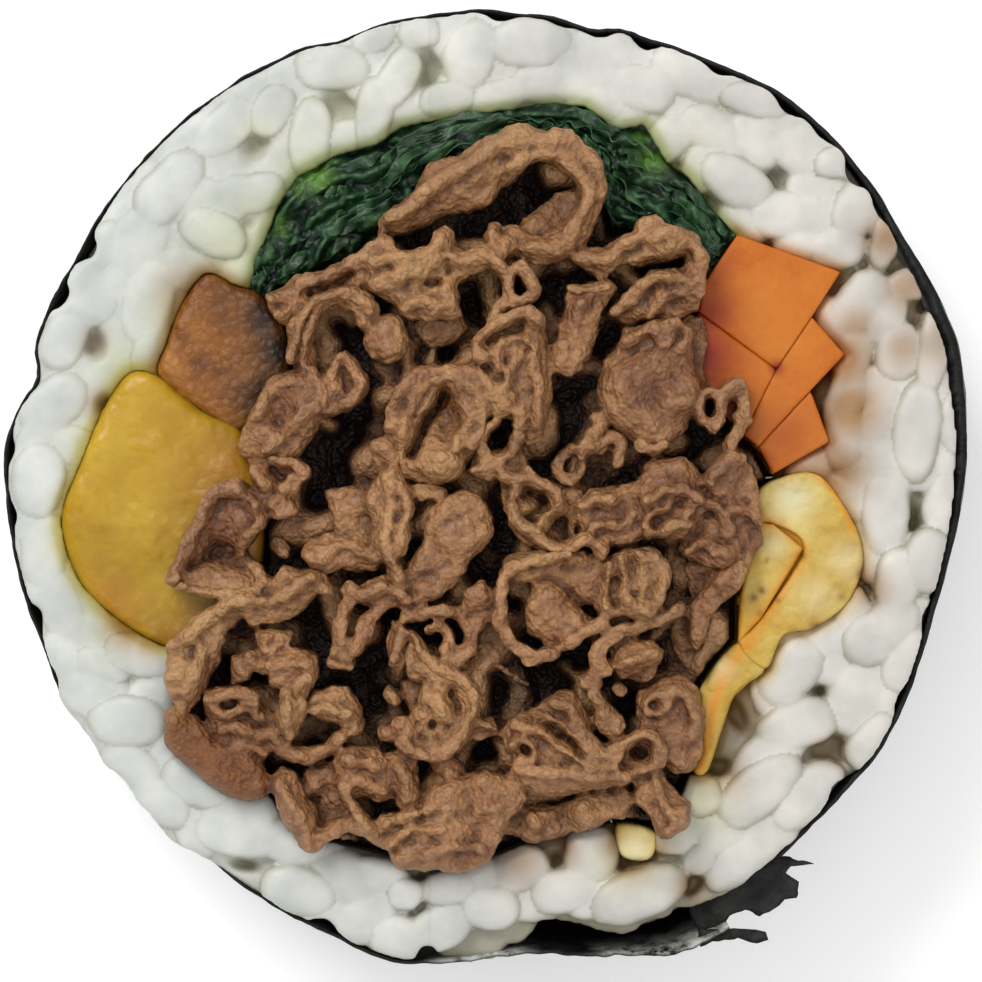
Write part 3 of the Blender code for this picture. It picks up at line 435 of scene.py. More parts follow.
# Grains told apart in the photograph: pixel, pixel, direction in degrees, length and width.
SHOWN_GRAINS = [
    (713, 133, -28, 5.4, 3.3), (733, 182, -30, 5.6, 3.2), (752, 103, -15, 4.8, 2.2),
    (682, 72, -25, 5.0, 3.6), (800, 150, -35, 6.0, 3.9), (835, 165, 0, 3.2, 2.2),
    (858, 205, 60, 5.0, 3.4), (835, 247, 10, 4.2, 3.2), (788, 215, 5, 6.0, 3.2),
    (860, 303, 50, 5.3, 3.5), (907, 285, 0, 2.8, 2.4), (895, 352, 80, 4.2, 3.0),
    (932, 350, 80, 6.0, 2.4), (878, 425, 70, 6.0, 3.2), (915, 430, 85, 7.0, 3.2),
    (955, 422, 85, 4.8, 2.6), (885, 512, 87, 6.5, 3.3), (945, 503, 80, 4.8, 3.2),
    (925, 560, 80, 4.4, 3.2), (895, 580, 85, 4.6, 2.9), (880, 630, 40, 6.0, 3.7),
    (905, 660, 60, 5.0, 3.2), (858, 693, 65, 6.1, 4.1), (790, 670, 50, 5.7, 3.8),
    (795, 725, 15, 5.4, 3.4), (770, 755, 45, 6.6, 3.5), (757, 790, 38, 7.0, 3.4),
    (805, 795, 45, 6.2, 3.2), (745, 855, 35, 6.4, 3.3), (698, 795, 80, 3.0, 2.9),
    (698, 858, 60, 2.4, 2.0), (637, 893, 20, 7.0, 3.5), (566, 889, 15, 5.0, 3.2),
    (592, 853, 90, 4.1, 3.7), (520, 868, 20, 4.2, 3.2), (870, 740, 45, 4.4, 2.9),
    (845, 400, 75, 5.2, 2.6), (850, 355, 70, 4.0, 2.6), (885, 235, 75, 4.6, 2.0),
    (255, 195, 12, 4.2, 2.8), (332, 70, -5, 5.2, 3.2), (372, 38, 15, 3.2, 2.3),
    (398, 80, 60, 4.4, 2.8), (375, 115, 80, 5.2, 2.7), (420, 36, 0, 3.0, 2.4),
    (470, 55, 75, 5.0, 3.6), (448, 100, 10, 3.8, 2.4), (530, 45, 0, 6.0, 3.4),
    (600, 55, -10, 5.4, 3.6), (272, 112, 60, 4.0, 2.6), (310, 140, 85, 5.6, 2.8),
    (225, 130, 40, 5.4, 3.0), (170, 190, 50, 6.2, 3.6), (215, 235, -25, 4.8, 3.0),
    (140, 240, 60, 6.0, 4.0), (150, 300, 80, 6.6, 3.6), (65, 340, 60, 4.4, 3.2),
    (55, 405, 40, 5.4, 3.4), (40, 480, 80, 5.4, 3.6), (45, 550, 85, 5.4, 3.4),
    (62, 605, -65, 6.6, 3.2), (95, 690, -20, 5.0, 4.0), (140, 655, -15, 5.0, 2.7),
    (130, 720, 0, 5.4, 3.6), (130, 765, -20, 4.8, 2.8), (160, 800, -35, 4.8, 3.0),
    (240, 830, -10, 6.6, 3.6), (300, 890, -15, 5.4, 3.4), (350, 880, -20, 6.0, 4.0),
    (405, 892, 0, 2.6, 2.2), (450, 885, 10, 3.8, 2.4), (490, 905, -10, 4.0, 3.2),
    (440, 925, 30, 5.4, 3.0), (545, 85, 5, 5.0, 3.0), (640, 90, -20, 5.2, 3.2),
    (200, 780, -20, 5.4, 3.4), (400, 935, -10, 4.6, 3.0),
]
# The outlines of the fillings, which meet where the photograph shows them touching.
FILLINGS = {
    "pickled_radish": [
        (129, 373), (103, 411), (79, 468), (62, 516), (72, 566), (98, 603), (149, 640), (184, 645),
        (240, 600), (262, 560), (262, 500), (243, 432), (201, 411), (158, 376),
    ],
    "braised_burdock": [
        (207, 272), (184, 298), (165, 345), (158, 376), (201, 411), (243, 432), (285, 400),
        (290, 340), (262, 296), (235, 284),
    ],
    "carrot_upper": [(736, 236), (703, 284), (697, 313), (775, 370), (810, 318), (839, 273)],
    "carrot_left": [(697, 313), (700, 391), (742, 435), (775, 370)],
    "carrot_right": [(775, 370), (742, 435), (757, 447), (809, 391), (843, 355), (810, 318)],
    "carrot_lower": [(757, 447), (772, 474), (828, 442), (809, 391)],
    "egg_outer": [
        (756, 494), (757, 522), (772, 524), (802, 548), (760, 617), (737, 642), (764, 668),
        (782, 634), (812, 627), (849, 598), (862, 550), (837, 497), (812, 473), (776, 479),
    ],
    "egg_inner": [(757, 522), (743, 571), (738, 600), (737, 642), (760, 617), (802, 548), (772, 524)],
    "egg_lower": [
        (737, 642), (702, 683), (697, 711), (700, 748), (692, 770), (708, 768), (732, 697),
        (764, 668),
    ],
    "egg_scrap": [(617, 823), (621, 855), (650, 858), (654, 831)],
}
BEEF_OUTLINE = [
    (262, 296), (290, 340), (285, 400), (243, 432), (262, 500), (262, 560), (240, 600), (184, 645),
    (176, 690), (172, 745), (200, 768), (240, 793), (270, 795), (290, 830), (345, 846), (410, 862),
    (470, 866), (540, 838), (617, 823), (654, 831), (680, 800), (692, 770), (700, 748), (697, 711),
    (702, 683), (737, 642), (738, 600), (743, 571), (757, 522), (756, 494), (776, 479), (772, 474),
    (757, 447), (742, 435), (700, 391), (697, 313), (703, 284), (690, 242), (650, 232), (612, 225),
    (600, 180), (565, 150), (520, 142), (470, 160), (410, 205), (385, 240), (345, 262), (300, 276),
]
SPINACH_OUTER = [
    (250, 290), (257, 262), (277, 207), (297, 177), (337, 155), (377, 145), (399, 127), (469, 115),
    (511, 110), (553, 105), (586, 107), (615, 130), (644, 124), (667, 163), (687, 176), (716, 215),
    (734, 234),
]
SPINACH_INNER = [
    (262, 296), (300, 276), (345, 262), (385, 240), (410, 205), (470, 160), (520, 142), (565, 150),
    (600, 180), (612, 225), (650, 232), (690, 242), (703, 284),
]
# Browned and yellowed places in the rice: pixel, pixel, radius in pixels and strength.
SAUCE_STAINS = [
    (838, 362, 36, 1.0), (848, 410, 32, 1.0), (838, 470, 30, 0.9), (852, 330, 24, 0.7),
    (884, 240, 24, 0.8), (769, 477, 9, 1.0), (935, 345, 26, 0.5), (905, 288, 26, 0.7),
    (868, 588, 20, 0.7), (900, 350, 22, 0.6), (105, 405, 16, 0.7), (95, 343, 13, 0.5),
    (128, 625, 22, 0.9), (150, 640, 18, 0.6), (738, 712, 24, 0.7), (722, 770, 22, 0.6),
    (690, 885, 16, 0.8), (180, 290, 26, 0.5), (830, 750, 14, 0.4), (630, 862, 20, 0.7),
    (520, 858, 26, 0.6), (560, 846, 20, 0.8), (618, 842, 18, 0.8), (655, 848, 16, 0.7),
]
YOLK_STAINS = [
    (698, 800, 34, 0.8), (640, 850, 34, 0.7), (300, 150, 46, 0.35), (235, 250, 44, 0.8),
    (180, 320, 34, 0.8),
    (430, 72, 24, 0.5), (342, 105, 24, 0.5), (258, 140, 24, 0.5), (615, 865, 24, 0.7),
    (130, 372, 34, 0.8), (88, 440, 26, 0.6), (690, 150, 30, 0.3), (66, 540, 20, 0.6), (110, 620, 30, 0.6),
    (255, 215, 30, 0.6), (300, 168, 24, 0.6),
]


def curve_point(points, share):
    """Give the place at a share of a smooth curve through the points."""
    span = share * (len(points) - 1)
    index = min(int(span), len(points) - 2)
    t = span - index
    p1 = points[index]
    p2 = points[index + 1]
    p0 = points[index - 1] if index else p1 * 2 - p2
    p3 = points[index + 2] if index + 2 < len(points) else p2 * 2 - p1
    bend = p0 * 2 - p1 * 5 + p2 * 4 - p3
    twist = p1 * 3 - p0 - p2 * 3 + p3
    return (p1 * 2 + (p2 - p0) * t + bend * t * t + twist * t * t * t) * 0.5


def eased_loop(points, steps=5):
    """Turn a closed outline of a few corners into a smooth one."""
    wrapped = points[-1:] + points + points[:2]
    spans = len(wrapped) - 1
    return [curve_point(wrapped, (1 + step / steps) / spans) for step in range(len(points) * steps)]


SOFT_FILLINGS = ("pickled_radish", "braised_burdock", "egg_outer", "egg_lower", "egg_scrap")


def filling_outline(name):
    """Give a filling's outline in metres: soft ones are smooth, cut sticks keep their corners."""
    outline = [plan(*point) for point in FILLINGS[name]]
    return eased_loop(outline) if name in SOFT_FILLINGS else outline


def all_pockets():
    """List the plan outlines that the rice is pressed round."""
    outlines = [filling_outline(name) for name in FILLINGS]
    outlines.append([plan(*point) for point in BEEF_OUTLINE])
    outlines.append([plan(*point) for point in SPINACH_OUTER + SPINACH_INNER[::-1]])
    return outlines


def held_in(outline, x, y):
    """Tell which places lie inside a closed outline, as arrays."""
    odd = np.zeros(len(x), dtype=bool)
    for first, second in zip(outline, outline[1:] + outline[:1]):
        spans = (first.y > y) != (second.y > y)
        share = (y - first.y) / ((second.y - first.y) or 1e-12)
        odd ^= spans & (first.x + (second.x - first.x) * share > x)
    return odd


def nearest_rim(outline, x, y):
    """Give, for each place, the nearest point on a closed outline and its distance."""
    best = np.full(len(x), 1.0)
    rim_x = x.copy()
    rim_y = y.copy()
    for first, second in zip(outline, outline[1:] + outline[:1]):
        run = second - first
        share = ((x - first.x) * run.x + (y - first.y) * run.y) / run.length_squared
        share = np.clip(share, 0, 1)
        near_x = first.x + run.x * share
        near_y = first.y + run.y * share
        distance = np.hypot(x - near_x, y - near_y)
        closer = distance < best
        best = np.where(closer, distance, best)
        rim_x = np.where(closer, near_x, rim_x)
        rim_y = np.where(closer, near_y, rim_y)
    return rim_x, rim_y, best


def spot_strength(x, y, spots):
    """Add up soft round spots given in pixels, as a value from nought to one."""
    total = np.zeros(len(x))
    for pixel_x, pixel_y, radius, strength in spots:
        place = plan(pixel_x, pixel_y)
        distance = np.hypot(x - place.x, y - place.y) / (radius * PIXEL)
        total = np.maximum(total, strength * np.exp(-distance ** 2 * 0.9))
    return total


def joined(name, parts, finish):
    """Join finished parts into one object."""
    mesh = bmesh.new()
    for part in parts:
        mesh.from_mesh(part.data)
        data = part.data
        bpy.data.objects.remove(part)
        bpy.data.meshes.remove(data)
    return object_from(name, mesh, finish)


def applied(piece):
    """Replace an object's mesh by its evaluated one and clear its modifiers."""
    depsgraph = bpy.context.evaluated_depsgraph_get()
    piece.data = bpy.data.meshes.new_from_object(piece.evaluated_get(depsgraph))
    piece.modifiers.clear()
    piece.data.shade_smooth()


def knit(piece, voxel):
    """Rebuild a piece as one closed skin of even quads."""
    remesh = piece.modifiers.new("knit", "REMESH")
    remesh.mode = "VOXEL"
    remesh.voxel_size = voxel
    remesh.use_smooth_shade = True
    applied(piece)


def prism(name, outline, low, high, finish, rounding=0.0):
    """Stand an outline up between two levels, with its upper edge rounded."""
    mesh = bmesh.new()
    base = mesh.faces.new([mesh.verts.new((point.x, point.y, low)) for point in outline])
    raised = bmesh.ops.extrude_face_region(mesh, geom=[base])
    upper = [item for item in raised["geom"] if isinstance(item, bmesh.types.BMVert)]
    bmesh.ops.translate(mesh, verts=upper, vec=(0, 0, high - low))
    bmesh.ops.recalc_face_normals(mesh, faces=mesh.faces)
    if rounding:
        rim = [edge for edge in mesh.edges if all(vert in upper for vert in edge.verts)]
        bmesh.ops.bevel(mesh, geom=rim, offset=rounding, segments=3, profile=0.5,
                        affect="EDGES", material=-1, clamp_overlap=True)
    return object_from(name, mesh, finish)


def averaged(piece, places, rounds):
    """Give a skin's points after each has moved to the middle of its neighbours."""
    edges = np.empty(len(piece.data.edges) * 2, dtype=np.int64)
    piece.data.edges.foreach_get("vertices", edges)
    first, second = edges.reshape(-1, 2).T
    count = np.maximum(np.bincount(np.concatenate([first, second]), minlength=len(places)), 1)
    for _ in range(rounds):
        total = np.zeros_like(places)
        for axis in range(3):
            total[:, axis] += np.bincount(first, places[second, axis], len(places))
            total[:, axis] += np.bincount(second, places[first, axis], len(places))
        places = total / count[:, None]
    return places


def relax(piece, rounds, weights):
    """Even out a skin by moving each point towards the middle of its neighbours."""
    places = points_of(piece)
    for level in range(rounds):
        share = np.clip(weights * rounds - level, 0, 1)[:, None]
        places += (averaged(piece, places, 1) - places) * 0.6 * share
    set_points(piece, places)


def normals_of(piece):
    """Read a mesh's point normals as an array."""
    flat = np.empty(len(piece.data.vertices) * 3, dtype=np.float32)
    piece.data.vertex_normals.foreach_get("vector", flat)
    return flat.reshape(-1, 3).astype(float)


def lattice_noise(places, size, seed):
    """Give smooth random values between -1 and 1 at places in metres. Size is in mm."""
    table = np.random.default_rng(seed).uniform(-1, 1, (32, 32, 32))
    turned = places @ np.array([[0.36, 0.48, -0.8], [-0.8, 0.6, 0.0], [0.48, 0.64, 0.6]]) / (size * MM)
    cells = np.floor(turned).astype(int)
    eased = turned - cells
    eased = eased * eased * (3 - 2 * eased)
    total = np.zeros(len(places))
    for corner in range(8):
        steps = [corner & 1, corner >> 1 & 1, corner >> 2 & 1]
        weight = np.ones(len(places))
        for axis, step in enumerate(steps):
            weight *= eased[:, axis] if step else 1 - eased[:, axis]
        i, j, k = ((cells[:, axis] + step) % 32 for axis, step in enumerate(steps))
        total += weight * table[i, j, k]
    return total


def lobed(places, size, seed):
    """Give round lobes with sharp creases between them, from nought to about one."""
    return np.abs(lattice_noise(places, size, seed)) * 1.6


def line_distance(line, x, y):
    """Give the distance of places from an open line of points."""
    best = np.full(len(x), 1.0)
    for first, second in zip(line, line[1:]):
        run = second - first
        share = ((x - first.x) * run.x + (y - first.y) * run.y) / max(run.length_squared, 1e-14)
        share = np.clip(share, 0, 1)
        best = np.minimum(best, np.hypot(x - first.x - run.x * share, y - first.y - run.y * share))
    return best


def places_near(x, y, line, margin):
    """List the places that lie within a margin of the box round some points."""
    west = min(point.x for point in line) - margin
    east = max(point.x for point in line) + margin
    south = min(point.y for point in line) - margin
    north = max(point.y for point in line) + margin
    return np.nonzero((x > west) & (x < east) & (y > south) & (y < north))[0]


def heap(name, x_range, y_range, grid, voxel, finish, heights_at, underside_at):
    """Raise a fine grid to a height function, close it below and knit it if a voxel is given."""
    corner = plan(x_range[0], y_range[1])
    far = plan(x_range[1], y_range[0])
    mesh = bmesh.new()
    bmesh.ops.create_grid(mesh, x_segments=round((far.x - corner.x) / grid),
                          y_segments=round((far.y - corner.y) / grid), size=0.5)
    for vert in mesh.verts:
        vert.co.x = corner.x + (vert.co.x + 0.5) * (far.x - corner.x)
        vert.co.y = corner.y + (vert.co.y + 0.5) * (far.y - corner.y)
    places = np.array([(vert.co.x, vert.co.y) for vert in mesh.verts])
    heights = heights_at(places[:, 0], places[:, 1])
    for vert, height in zip(mesh.verts, heights):
        vert.co.z = height if height == height else -1.0
    bare = [vert for vert in mesh.verts if vert.co.z < 0]
    bmesh.ops.delete(mesh, geom=bare, context="VERTS")
    lowered = bmesh.ops.extrude_face_region(mesh, geom=mesh.faces[:])
    under = [item for item in lowered["geom"] if isinstance(item, bmesh.types.BMVert)]
    below = np.array([(vert.co.x, vert.co.y) for vert in under])
    for vert, underside in zip(under, underside_at(below[:, 0], below[:, 1])):
        vert.co.z = min(underside, vert.co.z - 0.3 * MM)
    bmesh.ops.recalc_face_normals(mesh, faces=mesh.faces)
    piece = object_from(name, mesh, finish)
    if voxel:
        knit(piece, voxel)
    return piece


def flat_at(level):
    """Make an underside that lies flat at one level."""
    return lambda x, y: np.full(len(x), level)


def creased_share(piece, places, start, direction=1):
    """Tell how deep each point lies below its surroundings, or how high with a direction of -1."""
    normals = normals_of(piece)
    smooth = averaged(piece, places, 5)
    wide = averaged(piece, smooth, 10)
    sunk = np.einsum("ij,ij->i", smooth - places, normals) / MM * direction
    sunk_wide = np.einsum("ij,ij->i", wide - smooth, normals) / MM * direction
    return np.clip(start + sunk * 5.0 + sunk_wide * 3.2, 0, 0.92)


TRIED_PLACES = 9000
INNERMOST_SHARE = 0.28
ROLL_RADIUS = 31.8


def even_places(count, taken, seed, clearance):
    """Spread places evenly over the bare rice, in pixels, by a seeded rule."""
    chance = np.random.default_rng(seed)
    angle = chance.uniform(0, 2 * math.pi, TRIED_PLACES)
    radius = np.sqrt(chance.uniform(INNERMOST_SHARE, 1.0, TRIED_PLACES)) * ROLL_RADIUS * MM
    x = radius * np.cos(angle)
    y = radius * np.sin(angle)
    free = radius < rice_limit(angle, SLICE_HEIGHT) - clearance
    for outline in all_pockets():
        inside = held_in(outline, x, y)
        _, _, distance = nearest_rim(outline, x, y)
        free &= ~(inside | (distance < clearance))
    x = x[free]
    y = y[free]
    spacing = np.full(len(x), 1.0)
    for place in taken:
        spacing = np.minimum(spacing, np.hypot(x - place.x, y - place.y))
    chosen = []
    for _ in range(count):
        best = int(np.argmax(spacing))
        chosen.append((x[best] / PIXEL + PLAN_CENTRE[0], PLAN_CENTRE[1] - y[best] / PIXEL))
        spacing = np.minimum(spacing, np.hypot(x - x[best], y - y[best]))
    return chosen


rice_finish, tree, shader = new_finish("rice", 0.46, 0.4)
tint = stored(tree, "tint")
cloud = noise_mask(tree, 330, 3.0, 0.5)
milky = ramp(tree, cloud, [(0.3, srgb(190, 191, 187)), (0.7, srgb(216, 215, 210))])
tree.links.new(blend(tree, 1.0, milky, tint.outputs["Color"], "MULTIPLY"), shader.inputs["Base Color"])
shader.inputs["Subsurface Weight"].default_value = 0.4
shader.inputs["Subsurface Radius"].default_value = (1.0, 0.85, 0.65)
shader.inputs["Subsurface Scale"].default_value = 0.45 * MM
raise_surface(tree, shader, noise_mask(tree, 900, 5.0, 0.6), 0.07 * MM)

# Gaps between grains: pixel, pixel, half width, half height in pixels, turn, depth in mm, and
# how far sauce has browned them.
RICE_GAPS = [
    (430, 72, 12, 20, 0, 1.3, 0.0), (342, 105, 22, 13, 10, 1.2, 0.0), (258, 140, 12, 22, -25, 1.2, 0.0),
    (95, 343, 11, 15, 20, 1.2, 0.2), (770, 185, 7, 10, 0, 1.1, 0.0), (105, 405, 8, 10, 0, 1.0, 0.6),
    (880, 240, 9, 24, 20, 1.4, 0.7), (830, 750, 18, 13, 0, 1.4, 0.1), (822, 700, 6, 14, 10, 1.1, 0.3),
    (720, 770, 12, 10, 0, 1.2, 0.5), (615, 865, 14, 10, 0, 1.3, 0.2), (690, 885, 12, 8, 20, 1.4, 0.9),
    (555, 865, 8, 10, 0, 1.3, 0.5), (420, 880, 8, 6, 0, 1.5, 0.6), (868, 580, 10, 15, 0, 1.2, 0.8),
    (910, 515, 8, 18, 20, 0.9, 0.1), (912, 345, 9, 26, -15, 1.1, 0.6), (130, 675, 9, 12, -20, 1.1, 0.2),
    (862, 335, 8, 14, 0, 0.9, 0.5), (735, 712, 8, 20, 30, 1.2, 0.9), (240, 230, 16, 5, 30, 0.8, 0.1),
    (497, 42, 2, 2, 0, 1.2, 0.2), (607, 92, 2, 3, 0, 1.2, 0.2), (512, 98, 2, 2, 0, 1.2, 0.2),
    (62, 648, 3, 3, 0, 1.2, 0.2), (155, 792, 4, 4, 0, 1.3, 0.2), (162, 835, 3, 3, 0, 1.2, 0.2),
    (215, 873, 4, 3, 0, 1.2, 0.2), (760, 740, 2, 3, 0, 1.0, 0.2), (245, 865, 14, 5, -10, 1.3, 0.1),
    (660, 868, 10, 6, 0, 1.0, 0.1), (520, 850, 10, 7, 20, 1.1, 0.2), (925, 300, 8, 14, 0, 1.2, 0.6),
]
# Notches in the rice at the seaweed: pixel, pixel and reach in mm.
RIM_NOTCHES = [
    (500, 16, 0.6), (563, 18, 0.6), (600, 30, 0.7), (645, 45, 0.6), (720, 65, 0.8), (790, 105, 1.1),
    (825, 130, 0.6), (855, 175, 1.2), (885, 205, 1.0), (840, 790, 0.9), (90, 250, 1.0), (62, 297, 1.0),
    (10, 450, 0.5), (10, 515, 0.5), (40, 615, 0.6), (50, 680, 0.5), (270, 872, 1.1), (325, 925, 0.9),
    (427, 948, 1.2), (915, 250, 0.8), (950, 300, 0.7), (965, 525, 0.5), (930, 620, 0.5), (905, 700, 0.5),
]
# Levels in mm: the bed between the grains where it is pressed and loose, and the grains' tops.
PRESSED_TOP = 18.05
LOOSE_TOP = 17.0
GRAIN_TOP = 18.85
LOWEST_GAP = 16.3
# How squarely a grain's outline is rounded: 2 is an oval.
GRAIN_SQUARENESS = 2.3
FILLING_GRAINS = 120
GRAIN_CLEARANCE = 0.5 * MM
# Grains that fill bare places keep this far from the wider gaps, in pixels.
GAP_MARGIN = 16
NARROW_GAP = 4


def in_a_gap(pixel_x, pixel_y):
    """Tell whether a place lies in or beside one of the wider gaps."""
    return any(math.hypot((pixel_x - gap[0]) / (gap[2] + GAP_MARGIN),
                          (pixel_y - gap[1]) / (gap[3] + GAP_MARGIN)) < 1
               for gap in RICE_GAPS if gap[2] > NARROW_GAP)


chance = random.Random(21)
grains = []
for pixel_x, pixel_y, direction, length, width in SHOWN_GRAINS:
    grains.append((pixel_x, pixel_y, direction, length, width, chance.uniform(-0.45, 0.15)))
taken = [plan(item[0], item[1]) for item in grains]
for pixel_x, pixel_y in even_places(FILLING_GRAINS, taken, 3, GRAIN_CLEARANCE):
    if in_a_gap(pixel_x, pixel_y):
        continue
    width = chance.uniform(2.4, 3.2)
    grains.append((pixel_x, pixel_y, chance.uniform(0, 180), width * chance.uniform(1.4, 1.9), width,
                   chance.uniform(-0.75, -0.25)))


def pressed_share(x, y):
    """Tell how far the knife has pressed the grains together: most at the left and above."""
    return np.clip((3.7 * MM - x * 0.75 + y * 0.35) / (14 * MM), 0, 1)


def lay_grains(x, y):
    """Give the pressed grains' top, how near each place is to its grain's rim, and its tone."""
    flat = np.stack([x, y, np.zeros(len(x))], axis=1)
    pressed = pressed_share(x, y)
    heights = LOOSE_TOP + (PRESSED_TOP - LOOSE_TOP) * pressed + 0.12 * lattice_noise(flat, 2.4, 31)
    for pixel_x, pixel_y, half_width, half_height, direction, depth, _ in RICE_GAPS:
        heights -= depth * gap_share(x, y, pixel_x, pixel_y, half_width, half_height, direction)
    wavy_x = x + (0.16 * lattice_noise(flat, 1.9, 32) + 0.07 * lattice_noise(flat, 0.8, 35)) * MM
    wavy_y = y + (0.16 * lattice_noise(flat, 1.9, 33) + 0.07 * lattice_noise(flat, 0.8, 36)) * MM
    rims = np.full(len(x), 0.8)
    tones = np.full(len(x), 0.95)
    for order, (pixel_x, pixel_y, direction, length, width, lift) in enumerate(grains):
        middle = plan(pixel_x, pixel_y)
        spots = places_near(x, y, [middle], length * 0.62 * MM)
        across_x = wavy_x[spots] - middle.x
        across_y = wavy_y[spots] - middle.y
        turn = math.radians(direction)
        along = (across_x * math.cos(turn) + across_y * math.sin(turn)) / (length / 2 * MM)
        beside = (across_y * math.cos(turn) - across_x * math.sin(turn)) / (width / 2 * MM)
        ring = np.abs(along) ** GRAIN_SQUARENESS + np.abs(beside) ** GRAIN_SQUARENESS
        ring = ring ** (1 / GRAIN_SQUARENESS)
        spots = spots[ring < 1]
        ring = ring[ring < 1]
        crisp = 1 - 0.45 * pressed[spots]
        level = GRAIN_TOP + lift * crisp - 0.3 * pressed[spots]
        level -= width * crisp * (0.09 * ring ** 2 + 0.17 * (1 - np.sqrt(1 - ring ** 5)))
        highest = level > heights[spots]
        spots = spots[highest]
        heights[spots] = level[highest]
        rims[spots] = ring[highest]
        tones[spots] = 0.93 + 0.07 * (order * 0.618 % 1)
    return heights, rims, tones


# The rice reaches out under the loose end: directions in degrees. Notches are round, in mm.
CARRY_RUN = 13
CARRY_EASE = 6
FLAP_AT = 286
FLAP_HALF_WIDTH = 17
NOTCH_RADIUS = 0.75 * MM
# Its edges are rounded at the sheet and drawn down at the fillings, which it laps by a little.
EDGE_ROUNDING = 0.8 * MM
EDGE_DROP = 0.4
POCKET_LAP = 0.12 * MM
POCKET_ROUNDING = 0.35 * MM
POCKET_DROP = 0.3


def shown_limit(x, y):
    """Give the radius at which the shown rice ends, inside the seaweed's edge."""
    flat = np.stack([x, y, np.zeros(len(x))], axis=1)
    angle = np.arctan2(y, x)
    turned = SHEET_START + (angle - SHEET_START) % (2 * math.pi)
    carried = np.clip((CARRY_RUN - np.degrees(turned - SHEET_START)) / CARRY_EASE, 0, 1)
    wound = sheet_radius(turned)
    wound += carried * (sheet_radius(turned + 2 * math.pi) - wound)
    limit = wound - belly(turned, NORI_TOP) - rim_width(angle) - 0.03 * MM
    limit += 0.05 * MM * lattice_noise(flat, 1.3, 34)
    at_flap = np.exp(-(((np.degrees(angle) % 360) - FLAP_AT) / FLAP_HALF_WIDTH) ** 6)
    limit += at_flap * MM * (0.15 + 0.5 * lobed(flat, 1.9, 37))
    for pixel_x, pixel_y, depth in RIM_NOTCHES:
        notch = plan(pixel_x, pixel_y)
        away = np.hypot(x - notch.x, y - notch.y) / NOTCH_RADIUS
        limit -= depth * MM * np.exp(-away ** 2)
    return limit


def rice_heights(x, y):
    """Give the top of the rice, and no value where there is none."""
    heights, _, _ = lay_grains(x, y)
    heights = np.maximum(heights, LOWEST_GAP)
    reach = np.hypot(x, y)
    limit = shown_limit(x, y)
    gone = reach > limit
    edge = np.clip((limit - reach) / EDGE_ROUNDING, 0, 1)
    heights -= EDGE_DROP * (1 - np.sqrt(np.clip(1 - (1 - edge) ** 2, 0, 1)))
    for outline in all_pockets():
        held = held_in(outline, x, y)
        _, _, inset = nearest_rim(outline, x, y)
        gone |= held & (inset > POCKET_LAP)
        heights -= POCKET_DROP * np.exp(-(inset / POCKET_ROUNDING) ** 2)
    return np.where(gone, np.nan, heights * MM)


def gap_share(x, y, pixel_x, pixel_y, half_width, half_height, direction):
    """Give a soft oval, from nought outside it to one at its middle."""
    middle = plan(pixel_x, pixel_y)
    turn = math.radians(direction)
    across_x = x - middle.x
    across_y = y - middle.y
    along = (across_x * math.cos(turn) + across_y * math.sin(turn)) / (half_width * PIXEL)
    beside = (across_y * math.cos(turn) - across_x * math.sin(turn)) / (half_height * PIXEL)
    return np.exp(-(along ** 2 + beside ** 2) ** 1.5)


# Colours that juice stains give the grains, and the yellowish painted shade along their outlines and in the
# low places between them, as shares of their own colour.
RIM_STAINS = {
    "pickled_radish": (0.86, 0.72, 0.22),
    "braised_burdock": (0.62, 0.42, 0.18),
    "carrot_upper": (0.80, 0.46, 0.20),
    "carrot_right": (0.72, 0.38, 0.16),
    "carrot_lower": (0.66, 0.34, 0.14),
    "egg_outer": (0.88, 0.70, 0.40),
    "egg_lower": (0.84, 0.66, 0.36),
}
LEAF_STAIN = (0.62, 0.68, 0.32)
OUTLINE_SHADE = (0.60, 0.58, 0.46)
DEPTH_SHADE = (0.44, 0.39, 0.25)
YOLK_TONE = (0.87, 0.87, 0.52)
SAUCE_TONE = (0.60, 0.36, 0.18)
JUICE_REACH = 0.65 * MM


def stained_rims():
    """List the outlines whose juice colours the grains beside them, with that colour."""
    pairs = [(filling_outline(name), colour) for name, colour in RIM_STAINS.items()]
    leaf_outline = [plan(*point) for point in SPINACH_OUTER + SPINACH_INNER[::-1]]
    return pairs + [(leaf_outline, LEAF_STAIN)]


def dye(tints, amount, colour):
    """Draw colours towards a stain, by an amount at each point."""
    for axis in range(3):
        tints[:, axis] *= 1 - amount + amount * colour[axis]


